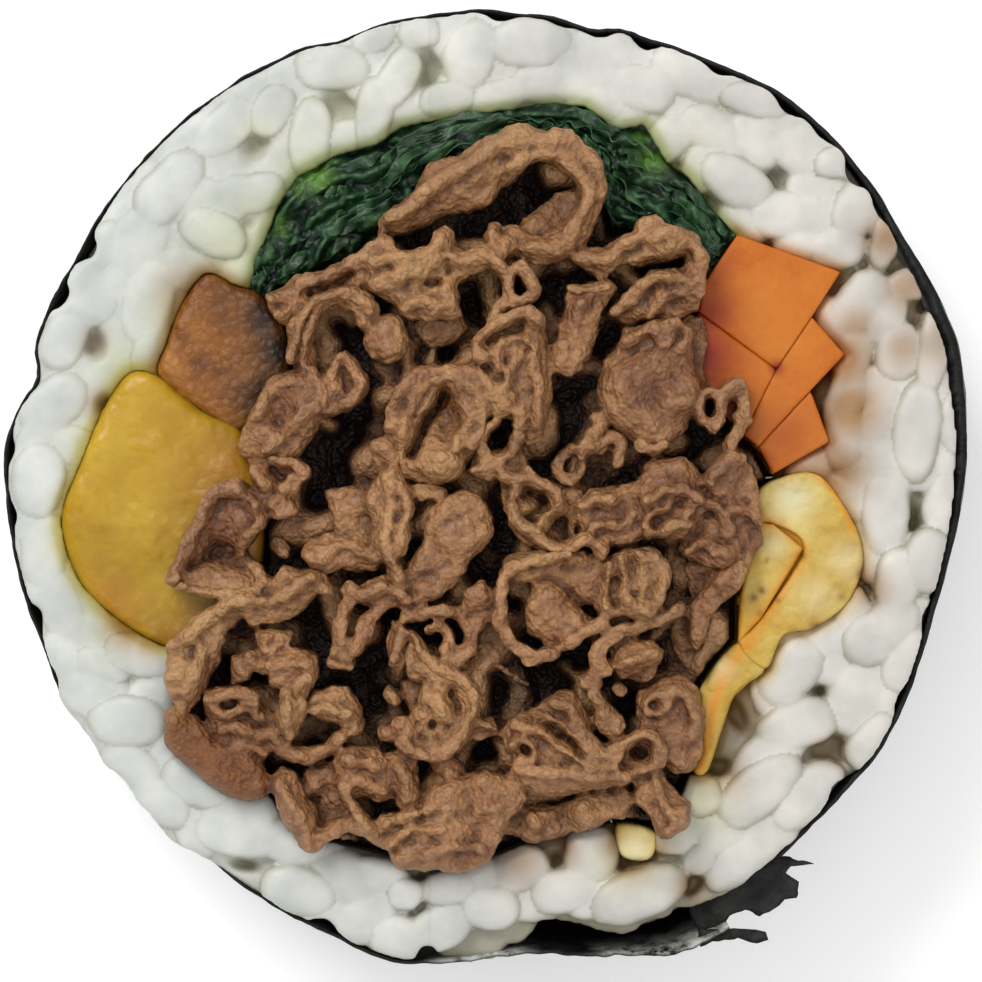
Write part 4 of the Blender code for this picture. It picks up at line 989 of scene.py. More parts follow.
def tint_rice(piece):
    """Store the colour of the grains: cool and pressed at the left, stained beside fillings, with painted
    shade along their outlines and in the low places between them.
    """
    places = points_of(piece)
    x, y, z = places.T
    tints = np.ones((len(x), 4))
    warm = np.clip(0.5 + x / (40 * MM), 0, 1)
    tints[:, 0] = 0.935 + 0.055 * warm
    tints[:, 1] = 0.965 - 0.005 * warm
    tints[:, 2] = 0.960 - 0.025 * warm
    browned = np.zeros(len(x))
    for pixel_x, pixel_y, half_width, half_height, direction, _, brown in RICE_GAPS:
        share = gap_share(x, y, pixel_x, pixel_y, half_width * 1.5, half_height * 1.5, direction)
        browned = np.maximum(browned, share * brown)
    depth = np.clip((18.0 * MM - z) / (1.5 * MM), 0, 1) * (1 - 0.4 * pressed_share(x, y))
    _, rims, tones = lay_grains(x, y)
    tints[:, :3] *= tones[:, None]
    outline = np.clip((rims - 0.74) / 0.26, 0, 1) ** 1.6 * (1 - 0.25 * pressed_share(x, y))
    brown = np.minimum(1, spot_strength(x, y, SAUCE_STAINS) * 1.15)
    brown = np.maximum(brown, browned * np.clip(depth * 2.5, 0, 1))
    yellow = spot_strength(x, y, YOLK_STAINS) * 0.75
    # Painted shade, tinted yellowish, along each grain's outline and in the low places between grains.
    dye(tints, outline, OUTLINE_SHADE)
    dye(tints, depth, DEPTH_SHADE)
    dye(tints, yellow, YOLK_TONE)
    dye(tints, brown, SAUCE_TONE)
    for rim, colour in stained_rims():
        _, _, inset = nearest_rim(rim, x, y)
        dye(tints, 0.95 * np.exp(-(inset / JUICE_REACH) ** 2), colour)
    store_tints(piece, tints)


def half_of(piece, name, side, split_x):
    """Copy the part of a closed piece that lies to one side of an upright plane, and close it."""
    mesh = bmesh.new()
    mesh.from_mesh(piece.data)
    everything = mesh.verts[:] + mesh.edges[:] + mesh.faces[:]
    cut = bmesh.ops.bisect_plane(mesh, geom=everything, plane_co=(split_x, 0, 0), plane_no=(side, 0, 0),
                                 clear_inner=True)
    rim = [item for item in cut["geom_cut"] if isinstance(item, bmesh.types.BMEdge)]
    walls = bmesh.ops.edgenet_fill(mesh, edges=rim)["faces"]
    sharp = {edge for wall in walls for edge in wall.edges}
    bmesh.ops.triangulate(mesh, faces=walls)
    bmesh.ops.recalc_face_normals(mesh, faces=mesh.faces)
    for edge in sharp:
        edge.smooth = False
    return object_from(name, mesh, rice_finish)


RICE_GRID = 0.15 * MM
BLOCK_TOP = 15.8 * MM
rice_ring = heap("rice_ring", (-4, 984), (0, 976), RICE_GRID, RICE_VOXEL, rice_finish, rice_heights,
                 flat_at(BLOCK_TOP))
places = points_of(rice_ring)
relax(rice_ring, 3, 0.4 + 0.6 * pressed_share(places[:, 0], places[:, 1]))
tint_rice(rice_ring)
RICE_SPLIT = plan(430, 0).x
for name, side in (("rice_left", -1), ("rice_right", 1)):
    piece = half_of(rice_ring, name, side, RICE_SPLIT)
    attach(piece, "root")
    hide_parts("rice")
bpy.data.objects.remove(rice_ring)

# Below the shown grains the rice is a pressed block, cut flat where it lies on the board.
BLOCK_STEPS = 240
BLOCK_VOXEL = 0.5 * MM
BLOCK_LEVELS = (0.0, SLICE_HEIGHT / 2, BLOCK_TOP)
BLOCK_GAP = 0.1 * MM
UNDER_LEVEL = 6 * MM
DIM_TINT = (0.80, 0.78, 0.72)
UNDER_TINT = (0.96, 0.96, 0.94)


def block_mesh():
    """Turn a low barrel that stays inside the seaweed at each of its levels."""
    mesh = bmesh.new()
    bmesh.ops.create_cone(mesh, cap_ends=True, cap_tris=False, segments=BLOCK_STEPS, radius1=1.0,
                          radius2=1.0, depth=2.0)
    upright = [edge for edge in mesh.edges if abs(edge.verts[0].co.z - edge.verts[1].co.z) > 1]
    bmesh.ops.subdivide_edges(mesh, edges=upright, cuts=1)
    for vert in mesh.verts:
        height = BLOCK_LEVELS[round(vert.co.z) + 1]
        angle = math.atan2(vert.co.y, vert.co.x)
        radius = float(rice_limit(np.array([angle]), height)[0]) - BLOCK_GAP
        vert.co = (radius * math.cos(angle), radius * math.sin(angle), height)
    return mesh


def cut_out(piece, outline):
    """Cut an outline through a piece from top to bottom."""
    pocket = prism("pocket", outline, -MM, 29 * MM, rice_finish)
    cut = piece.modifiers.new("cut", "BOOLEAN")
    cut.operation = "DIFFERENCE"
    cut.solver = "MANIFOLD"
    cut.object = pocket
    applied(piece)
    bpy.data.objects.remove(pocket)


rice_block = object_from("rice_block", block_mesh(), rice_finish)
for outline in all_pockets():
    cut_out(rice_block, outline)
knit(rice_block, BLOCK_VOXEL)
places = points_of(rice_block)
block_tint = np.ones((len(places), 4))
block_tint[:, :3] = DIM_TINT
block_tint[places[:, 2] < UNDER_LEVEL, :3] = UNDER_TINT
store_tints(rice_block, block_tint)
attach(rice_block, "root")
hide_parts("rice")

# The sticks and strips of filling are cut square from end to end, and their cut ends are
# wet. Radish is pickled yellow, burdock is braised in soy, carrot is lightly fried, and the
# egg is a thick omelette cut in strips, with browned skins. Each has its top, the rounding of
# its edge and the swell of its face, all in mm.
FILLING_TOPS = {
    "pickled_radish": (18.1, 0.8, 0.32),
    "braised_burdock": (17.9, 0.8, 0.2),
    "carrot_upper": (18.6, 0.08, 0.08),
    "carrot_left": (18.5, 0.08, 0.08),
    "carrot_right": (18.56, 0.08, 0.08),
    "carrot_lower": (18.45, 0.08, 0.08),
    "egg_outer": (18.5, 0.55, 0.5),
    "egg_inner": (18.8, 0.3, 0.3),
    "egg_lower": (18.3, 0.5, 0.5),
    "egg_scrap": (18.0, 0.35, 0.3),
}
CAP_FLOOR = 15.2 * MM
CAP_VOXEL = 0.13 * MM
SHAFT_DROP = 0.6

# Every moist filling shares one mottle: soft patches of colour and a fine pebbled relief.
moist_mottle = bpy.data.node_groups.new("moist_mottle", "ShaderNodeTree")
MOTTLE_SOCKETS = {
    "Patch Scale": "INPUT", "Grain Scale": "INPUT", "Patches": "OUTPUT", "Relief": "OUTPUT",
}
for label, direction in MOTTLE_SOCKETS.items():
    moist_mottle.interface.new_socket(name=label, in_out=direction, socket_type="NodeSocketFloat")
group_input = moist_mottle.nodes.new("NodeGroupInput")
group_output = moist_mottle.nodes.new("NodeGroupOutput")
place_node = moist_mottle.nodes.new("ShaderNodeTexCoord")
patches = moist_mottle.nodes.new("ShaderNodeTexNoise")
patches.inputs["Detail"].default_value = 6.0
patches.inputs["Roughness"].default_value = 0.64
patches.inputs["Distortion"].default_value = 0.4
fine_grain = moist_mottle.nodes.new("ShaderNodeTexNoise")
fine_grain.inputs["Detail"].default_value = 4.0
fine_grain.inputs["Roughness"].default_value = 0.65
cell_grain = moist_mottle.nodes.new("ShaderNodeTexVoronoi")
for texture, scale in (
        (patches, "Patch Scale"), (fine_grain, "Grain Scale"), (cell_grain, "Grain Scale")):
    moist_mottle.links.new(place_node.outputs["Object"], texture.inputs["Vector"])
    moist_mottle.links.new(group_input.outputs[scale], texture.inputs["Scale"])
relief = reckon(moist_mottle, "SUBTRACT", fine_grain.outputs["Fac"], cell_grain.outputs["Distance"])
moist_mottle.links.new(patches.outputs["Fac"], group_output.inputs["Patches"])
moist_mottle.links.new(relief, group_output.inputs["Relief"])


def mottle_in(tree, scales):
    """Place the shared mottle in a material, with its own scales."""
    node = tree.nodes.new("ShaderNodeGroup")
    node.node_tree = moist_mottle
    for label, value in scales.items():
        node.inputs[label].default_value = value
    return node


def moist_finish(name, roughness, scales, stops, stain, relief, glow, glow_depth, coat):
    """Make a moist filling's material: mottled colour, a stain that also serves as painted shade, fine
    relief and soft depth.
    """
    finish, tree, shader = new_finish(name, roughness, 0.25)
    mottle = mottle_in(tree, scales)
    colour = ramp(tree, mottle.outputs["Patches"], stops)
    # Sauce stain; on the radish and the carrot it is also painted shade beside the heaped beef.
    stained = blend(tree, stored(tree, "sauce").outputs["Fac"], colour, stain)
    tree.links.new(stained, shader.inputs["Base Color"])
    shader.inputs["Subsurface Weight"].default_value = glow_depth[0]
    shader.inputs["Subsurface Radius"].default_value = glow
    shader.inputs["Subsurface Scale"].default_value = glow_depth[1] * MM
    shader.inputs["Coat Weight"].default_value = coat
    shader.inputs["Coat Roughness"].default_value = 0.15
    raise_surface(tree, shader, mottle.outputs["Relief"], relief * MM)
    return finish, tree, shader, stained


# Each filling's stain colour, after its colour stops, also paints shade on the radish and the carrot beside
# the beef.
radish_finish, _, _, _ = moist_finish(
    "pickled_radish", 0.34, {"Patch Scale": 150.0, "Grain Scale": 1300.0},
    [(0.3, srgb(154, 120, 18)), (0.5, srgb(176, 138, 28)), (0.7, srgb(190, 155, 46))],
    srgb(160, 98, 28), 0.07, (1.0, 0.7, 0.15), (0.5, 1.6), 0.1)
burdock_finish, _, _, _ = moist_finish(
    "braised_burdock", 0.36, {"Patch Scale": 260.0, "Grain Scale": 1700.0},
    [(0.3, srgb(102, 58, 18)), (0.5, srgb(140, 86, 30)), (0.7, srgb(162, 110, 46))],
    srgb(26, 14, 9), 0.14, (1.0, 0.5, 0.2), (0.35, 1.2), 0.1)
carrot_finish, _, _, _ = moist_finish(
    "carrot", 0.5, {"Patch Scale": 180.0, "Grain Scale": 1700.0},
    [(0.3, srgb(180, 94, 18)), (0.52, srgb(192, 108, 28)), (0.72, srgb(200, 120, 40))],
    srgb(138, 40, 22), 0.05, (1.0, 0.4, 0.1), (0.4, 1.2), 0.0)
egg_finish, tree, shader, stained = moist_finish(
    "egg", 0.48, {"Patch Scale": 260.0, "Grain Scale": 1200.0},
    [(0.32, srgb(178, 140, 50)), (0.5, srgb(194, 164, 78)), (0.68, srgb(206, 184, 108))],
    srgb(206, 142, 44), 0.14, (1.0, 0.75, 0.35), (0.4, 0.9), 0.0)
# Set white of the omelette, and a painted highlight on the fold of the outer strip.
whitened = blend(tree, stored(tree, "white").outputs["Fac"], stained, srgb(222, 212, 172))
browned = blend(tree, stored(tree, "fleck").outputs["Fac"], whitened, srgb(122, 74, 28))
tree.links.new(browned, shader.inputs["Base Color"])

FILLING_FINISHES = {
    "pickled_radish": radish_finish,
    "braised_burdock": burdock_finish,
    "carrot": carrot_finish,
    "egg": egg_finish,
}
# Places where sauce darkens the fillings, and on the radish and the carrot painted shade beside the heaped
# beef: pixel, pixel, radius in pixels and strength.
FILLING_STAINS = {
    "pickled_radish": [(240, 480, 60, 0.55), (262, 540, 60, 0.7), (190, 640, 30, 0.6), (110, 610, 34, 0.5)],
    "braised_burdock": [(285, 350, 34, 1.0), (268, 318, 30, 0.9), (270, 400, 34, 0.9), (246, 290, 22, 0.5)],
    "carrot": [(700, 356, 38, 1.0), (702, 318, 32, 0.9), (700, 290, 26, 0.6), (716, 404, 34, 0.8),
               (735, 432, 22, 0.8), (762, 462, 16, 0.7), (716, 265, 20, 0.5), (785, 436, 32, 0.45),
               (775, 368, 7, 1.0)],
    "egg": [],
}
# Amber seams of the folded omelette: half width in mm and the line in pixels.
EGG_SEAMS = [
    (0.34, [(750, 508), (764, 521), (780, 527), (803, 548)]),
    (0.55, [(800, 552), (786, 578), (768, 606), (750, 632), (738, 650)]),
    (0.40, [(738, 650), (722, 676), (712, 704), (706, 740), (698, 768)]),
    (0.30, [(815, 474), (832, 490), (842, 506), (852, 530)]),
    (0.25, [(757, 524), (748, 556), (740, 590), (737, 636)]),
]
# Set white patches of the omelette, with a painted highlight on the fold of the outer strip as the first
# entry, and browned flecks: pixel, pixel, radius in pixels and strength.
EGG_WHITES = [
    (790, 500, 20, 0.8), (772, 545, 14, 0.5), (845, 560, 18, 0.5), (722, 668, 12, 0.4),
    (815, 595, 20, 0.4), (634, 848, 18, 0.9),
]
EGG_FLECKS = [
    (760, 590, 4, 0.9), (752, 597, 4, 0.9), (765, 560, 3, 0.6), (862, 574, 8, 0.9), (815, 626, 5, 0.9),
    (758, 612, 3, 0.6), (800, 556, 4, 0.7), (840, 596, 4, 0.5), (776, 600, 3, 0.7),
]


def stick(name, top, rounding, swell, finish):
    """Cut one filling to its outline, with a finely modelled cap on a plain shaft."""
    outline = filling_outline(name)
    corners = [plan(*point) for point in FILLINGS[name]]
    shaft = prism("shaft", corners, 0.0, (top - SHAFT_DROP) * MM, finish)
    cap = prism("cap", outline, CAP_FLOOR, top * MM, finish, rounding * MM)
    knit(cap, CAP_VOXEL)
    relax(cap, 3, np.full(len(cap.data.vertices), 0.8))
    places = points_of(cap)
    shown = places[:, 2] > CAP_FLOOR + 0.8 * MM
    relief = swell * lattice_noise(places, 3.2, 61) + 0.35 * swell * lattice_noise(places, 1.3, 62)
    relief += 0.12 * swell * lattice_noise(places, 0.5, 63)
    places[:, 2] += np.where(shown, relief * MM, 0)
    set_points(cap, places)
    return joined(name + "_stick", [shaft, cap], finish)


for name, (top, rounding, swell) in FILLING_TOPS.items():
    kind = name.split("_")[0] if name.startswith(("carrot", "egg")) else name
    piece = stick(name, top, rounding, swell, FILLING_FINISHES[kind])
    places = points_of(piece)
    x, y = places[:, 0], places[:, 1]
    stain = spot_strength(x, y, FILLING_STAINS[kind])
    if kind == "egg":
        for width, line in EGG_SEAMS:
            away = line_distance([plan(*point) for point in line], x, y) / (width * MM)
            stain = np.maximum(stain, 0.95 * np.exp(-away ** 2))
        # Set white, and a painted highlight on the fold of the outer strip.
        store_values(piece, "white", spot_strength(x, y, EGG_WHITES))
        store_values(piece, "fleck", spot_strength(x, y, EGG_FLECKS))
    # Sauce stain, and painted shade beside the heaped beef on the radish and the carrot.
    store_values(piece, "sauce", stain)
    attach(piece, "root")
    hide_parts(name)

# The spinach is blanched, wrung out and folded into the roll in a crescent. Its leaves lie in
# wet crinkled layers along the roll, with pale stems between them.
LEAF_MOTTLE = {"Patch Scale": 420.0, "Grain Scale": 1500.0}
spinach_finish, tree, shader = new_finish("spinach", 0.42, 0.3)
leaf_group = mottle_in(tree, LEAF_MOTTLE)
leaf_colour = ramp(tree, leaf_group.outputs["Patches"], [
    (0.3, srgb(4, 20, 11)), (0.5, srgb(9, 35, 19)), (0.66, srgb(20, 54, 28)), (0.82, srgb(50, 92, 46))])
limed = blend(tree, stored(tree, "lime").outputs["Fac"], leaf_colour, srgb(98, 138, 50))
# Painted highlight on the ridges of the leaves, and painted shade in their creases.
ridged = blend(tree, stored(tree, "crest").outputs["Fac"], limed, srgb(74, 118, 72))
shaded = blend(tree, stored(tree, "crease").outputs["Fac"], ridged, srgb(6, 18, 12))
tree.links.new(shaded, shader.inputs["Base Color"])
shader.inputs["Coat Weight"].default_value = 0.15
shader.inputs["Coat Roughness"].default_value = 0.2
raise_surface(tree, shader, leaf_group.outputs["Relief"], 0.16 * MM)


RIBBON_SIDES = 12
RIBBON_STATIONS = 34


def ribbon(width, thickness, rolls, points, ruffle, waves, phase):
    """Shape a rounded ribbon along a spine, with wavy edges."""
    mesh = bmesh.new()
    bmesh.ops.create_uvsphere(mesh, u_segments=RIBBON_SIDES, v_segments=RIBBON_STATIONS, radius=1.0)
    for vert in mesh.verts:
        polar_angle = math.acos(max(-1.0, min(1.0, vert.co.z)))
        share = polar_angle / math.pi
        fullness = math.sin(polar_angle) ** 0.42
        around = math.atan2(vert.co.y, vert.co.x)
        across = math.cos(around) * fullness * width / 2
        through = math.sin(around) * fullness * thickness / 2
        edge = math.cos(around) * abs(math.cos(around))
        through += ruffle * edge * math.sin(share * waves * 2 * math.pi + phase) * fullness
        low = curve_point(points, max(0.0, share - 0.02))
        high = curve_point(points, min(1.0, share + 0.02))
        along = (high - low).normalized()
        side = along.cross(Vector((0, 0, 1))).normalized()
        normal = side.cross(along)
        roll = math.radians(rolls[0] + (rolls[1] - rolls[0]) * share)
        rolled_side = side * math.cos(roll) + normal * math.sin(roll)
        rolled_normal = normal * math.cos(roll) - side * math.sin(roll)
        middle = curve_point(points, share)
        vert.co = middle + (rolled_side * across + rolled_normal * through)
    bmesh.ops.recalc_face_normals(mesh, faces=mesh.faces)
    return mesh


outer_edge = [Vector((*plan(*point), 0)) for point in SPINACH_OUTER]
inner_edge = [Vector((*plan(*point), 0)) for point in SPINACH_INNER]
spinach_edge = [plan(*point) for point in SPINACH_OUTER + SPINACH_INNER[::-1]]


def leaf_heights(x, y):
    """Give the crinkled top of the pressed leaves: folds run along the crescent."""
    flat = np.stack([x, y, np.zeros(len(x))], axis=1)
    bent = flat.copy()
    bent[:, 0] += 0.7 * MM * lattice_noise(flat, 2.4, 71)
    bent[:, 1] += 0.7 * MM * lattice_noise(flat, 2.4, 72)
    angle = np.arctan2(bent[:, 1] - 2 * MM, bent[:, 0])
    reach = np.hypot(bent[:, 0], bent[:, 1] - 2 * MM)
    around = np.stack([angle * 8 * MM, reach, np.zeros(len(x))], axis=1)
    heights = 17.1 + 0.95 * lobed(around, 1.3, 73) + 0.60 * lobed(around, 0.62, 74)
    heights += 0.22 * lobed(flat, 0.45, 75)
    held = held_in(spinach_edge, x, y)
    _, _, inset = nearest_rim(spinach_edge, x, y)
    ragged = inset + 0.35 * MM * lattice_noise(flat, 0.9, 76)
    heights -= 0.8 * (1 - np.sqrt(np.clip(1 - np.clip(1 - ragged / (0.9 * MM), 0, 1) ** 2, 0, 1)))
    return np.where(held | (inset < 0.15 * MM), heights * MM, np.nan)


LEAF_GRID = 0.13 * MM
LEAF_VOXEL = 0.15 * MM
LEAF_FLOOR = 15.0 * MM
spinach_mass = heap("spinach_mass", (240, 745), (95, 305), LEAF_GRID, LEAF_VOXEL, spinach_finish,
                    leaf_heights, flat_at(LEAF_FLOOR))
shaft = prism("shaft", spinach_edge, 0.0, 15.4 * MM, spinach_finish)
spinach_mass = joined("spinach_mass", [spinach_mass, shaft], spinach_finish)

# Thin leaf edges stand out of the mass here and there along the crescent.
LEAF_COUNT = 70
LEAF_THICKNESS = 0.2 * MM
LEAF_RUFFLE = 0.3 * MM
chance = random.Random(5)
leaves = []
for _ in range(LEAF_COUNT):
    start = chance.uniform(0.0, 0.86)
    length = chance.uniform(0.08, 0.2)
    depth = chance.uniform(0.16, 0.86)
    drift = chance.uniform(-0.2, 0.2)
    lift = 17.8 + chance.uniform(0.0, 0.6) - 0.3 * depth
    points = []
    for step in range(5):
        along = min(0.985, start + length * step / 4)
        across = min(0.9, max(0.08, depth + drift * step / 4))
        place = curve_point(inner_edge, along).lerp(curve_point(outer_edge, along), across)
        points.append(Vector((place.x, place.y, (lift + chance.uniform(-0.3, 0.3)) * MM)))
    rolls = (chance.uniform(-80, 80), chance.uniform(-80, 80))
    mesh = ribbon(chance.uniform(0.5, 1.4) * MM, LEAF_THICKNESS, rolls, points, LEAF_RUFFLE,
                  waves=chance.uniform(2.5, 5), phase=chance.uniform(0, 6))
    for vert in mesh.verts:
        vert.co += noise.noise_vector(vert.co / MM * 0.9) * 0.22 * MM
    leaves.append(object_from("leaf", mesh, spinach_finish))
spinach_leaves = joined("spinach_leaves", leaves, spinach_finish)
# Bright young leaf and stem: pixel, pixel, radius in pixels and strength.
LIME_SPOTS = [
    (318, 178, 14, 0.9), (652, 162, 12, 0.7), (282, 226, 9, 0.5), (640, 140, 8, 0.4), (300, 190, 8, 0.5),
]
for piece in (spinach_mass, spinach_leaves):
    places = points_of(piece)
    store_values(piece, "lime", spot_strength(places[:, 0], places[:, 1], LIME_SPOTS))
    # Painted shade in the creases and painted highlight on the crests.
    store_values(piece, "crease", creased_share(piece, places, 0.1))
    store_values(piece, "crest", creased_share(piece, places, -0.15, -1) * 0.7)
    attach(piece, "root")
    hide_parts("spinach")

# The beef is sliced thin, marinated in soy and sugar and fried, so that every slice curls
# and crumples. It is packed into the middle of the roll and heaped over the cut face.
BEEF_FLOOR = 15.6 * MM
BEEF_GRID = 0.125 * MM
SHEET_SPREAD = 0.12 * MM
BEEF_VOXEL = 0.16 * MM
CRUMB_GRID = 0.2 * MM
CRUMB_FLOOR = 14.6 * MM
CORE_TOP = 15.0 * MM
CORE_VOXEL = 0.7 * MM
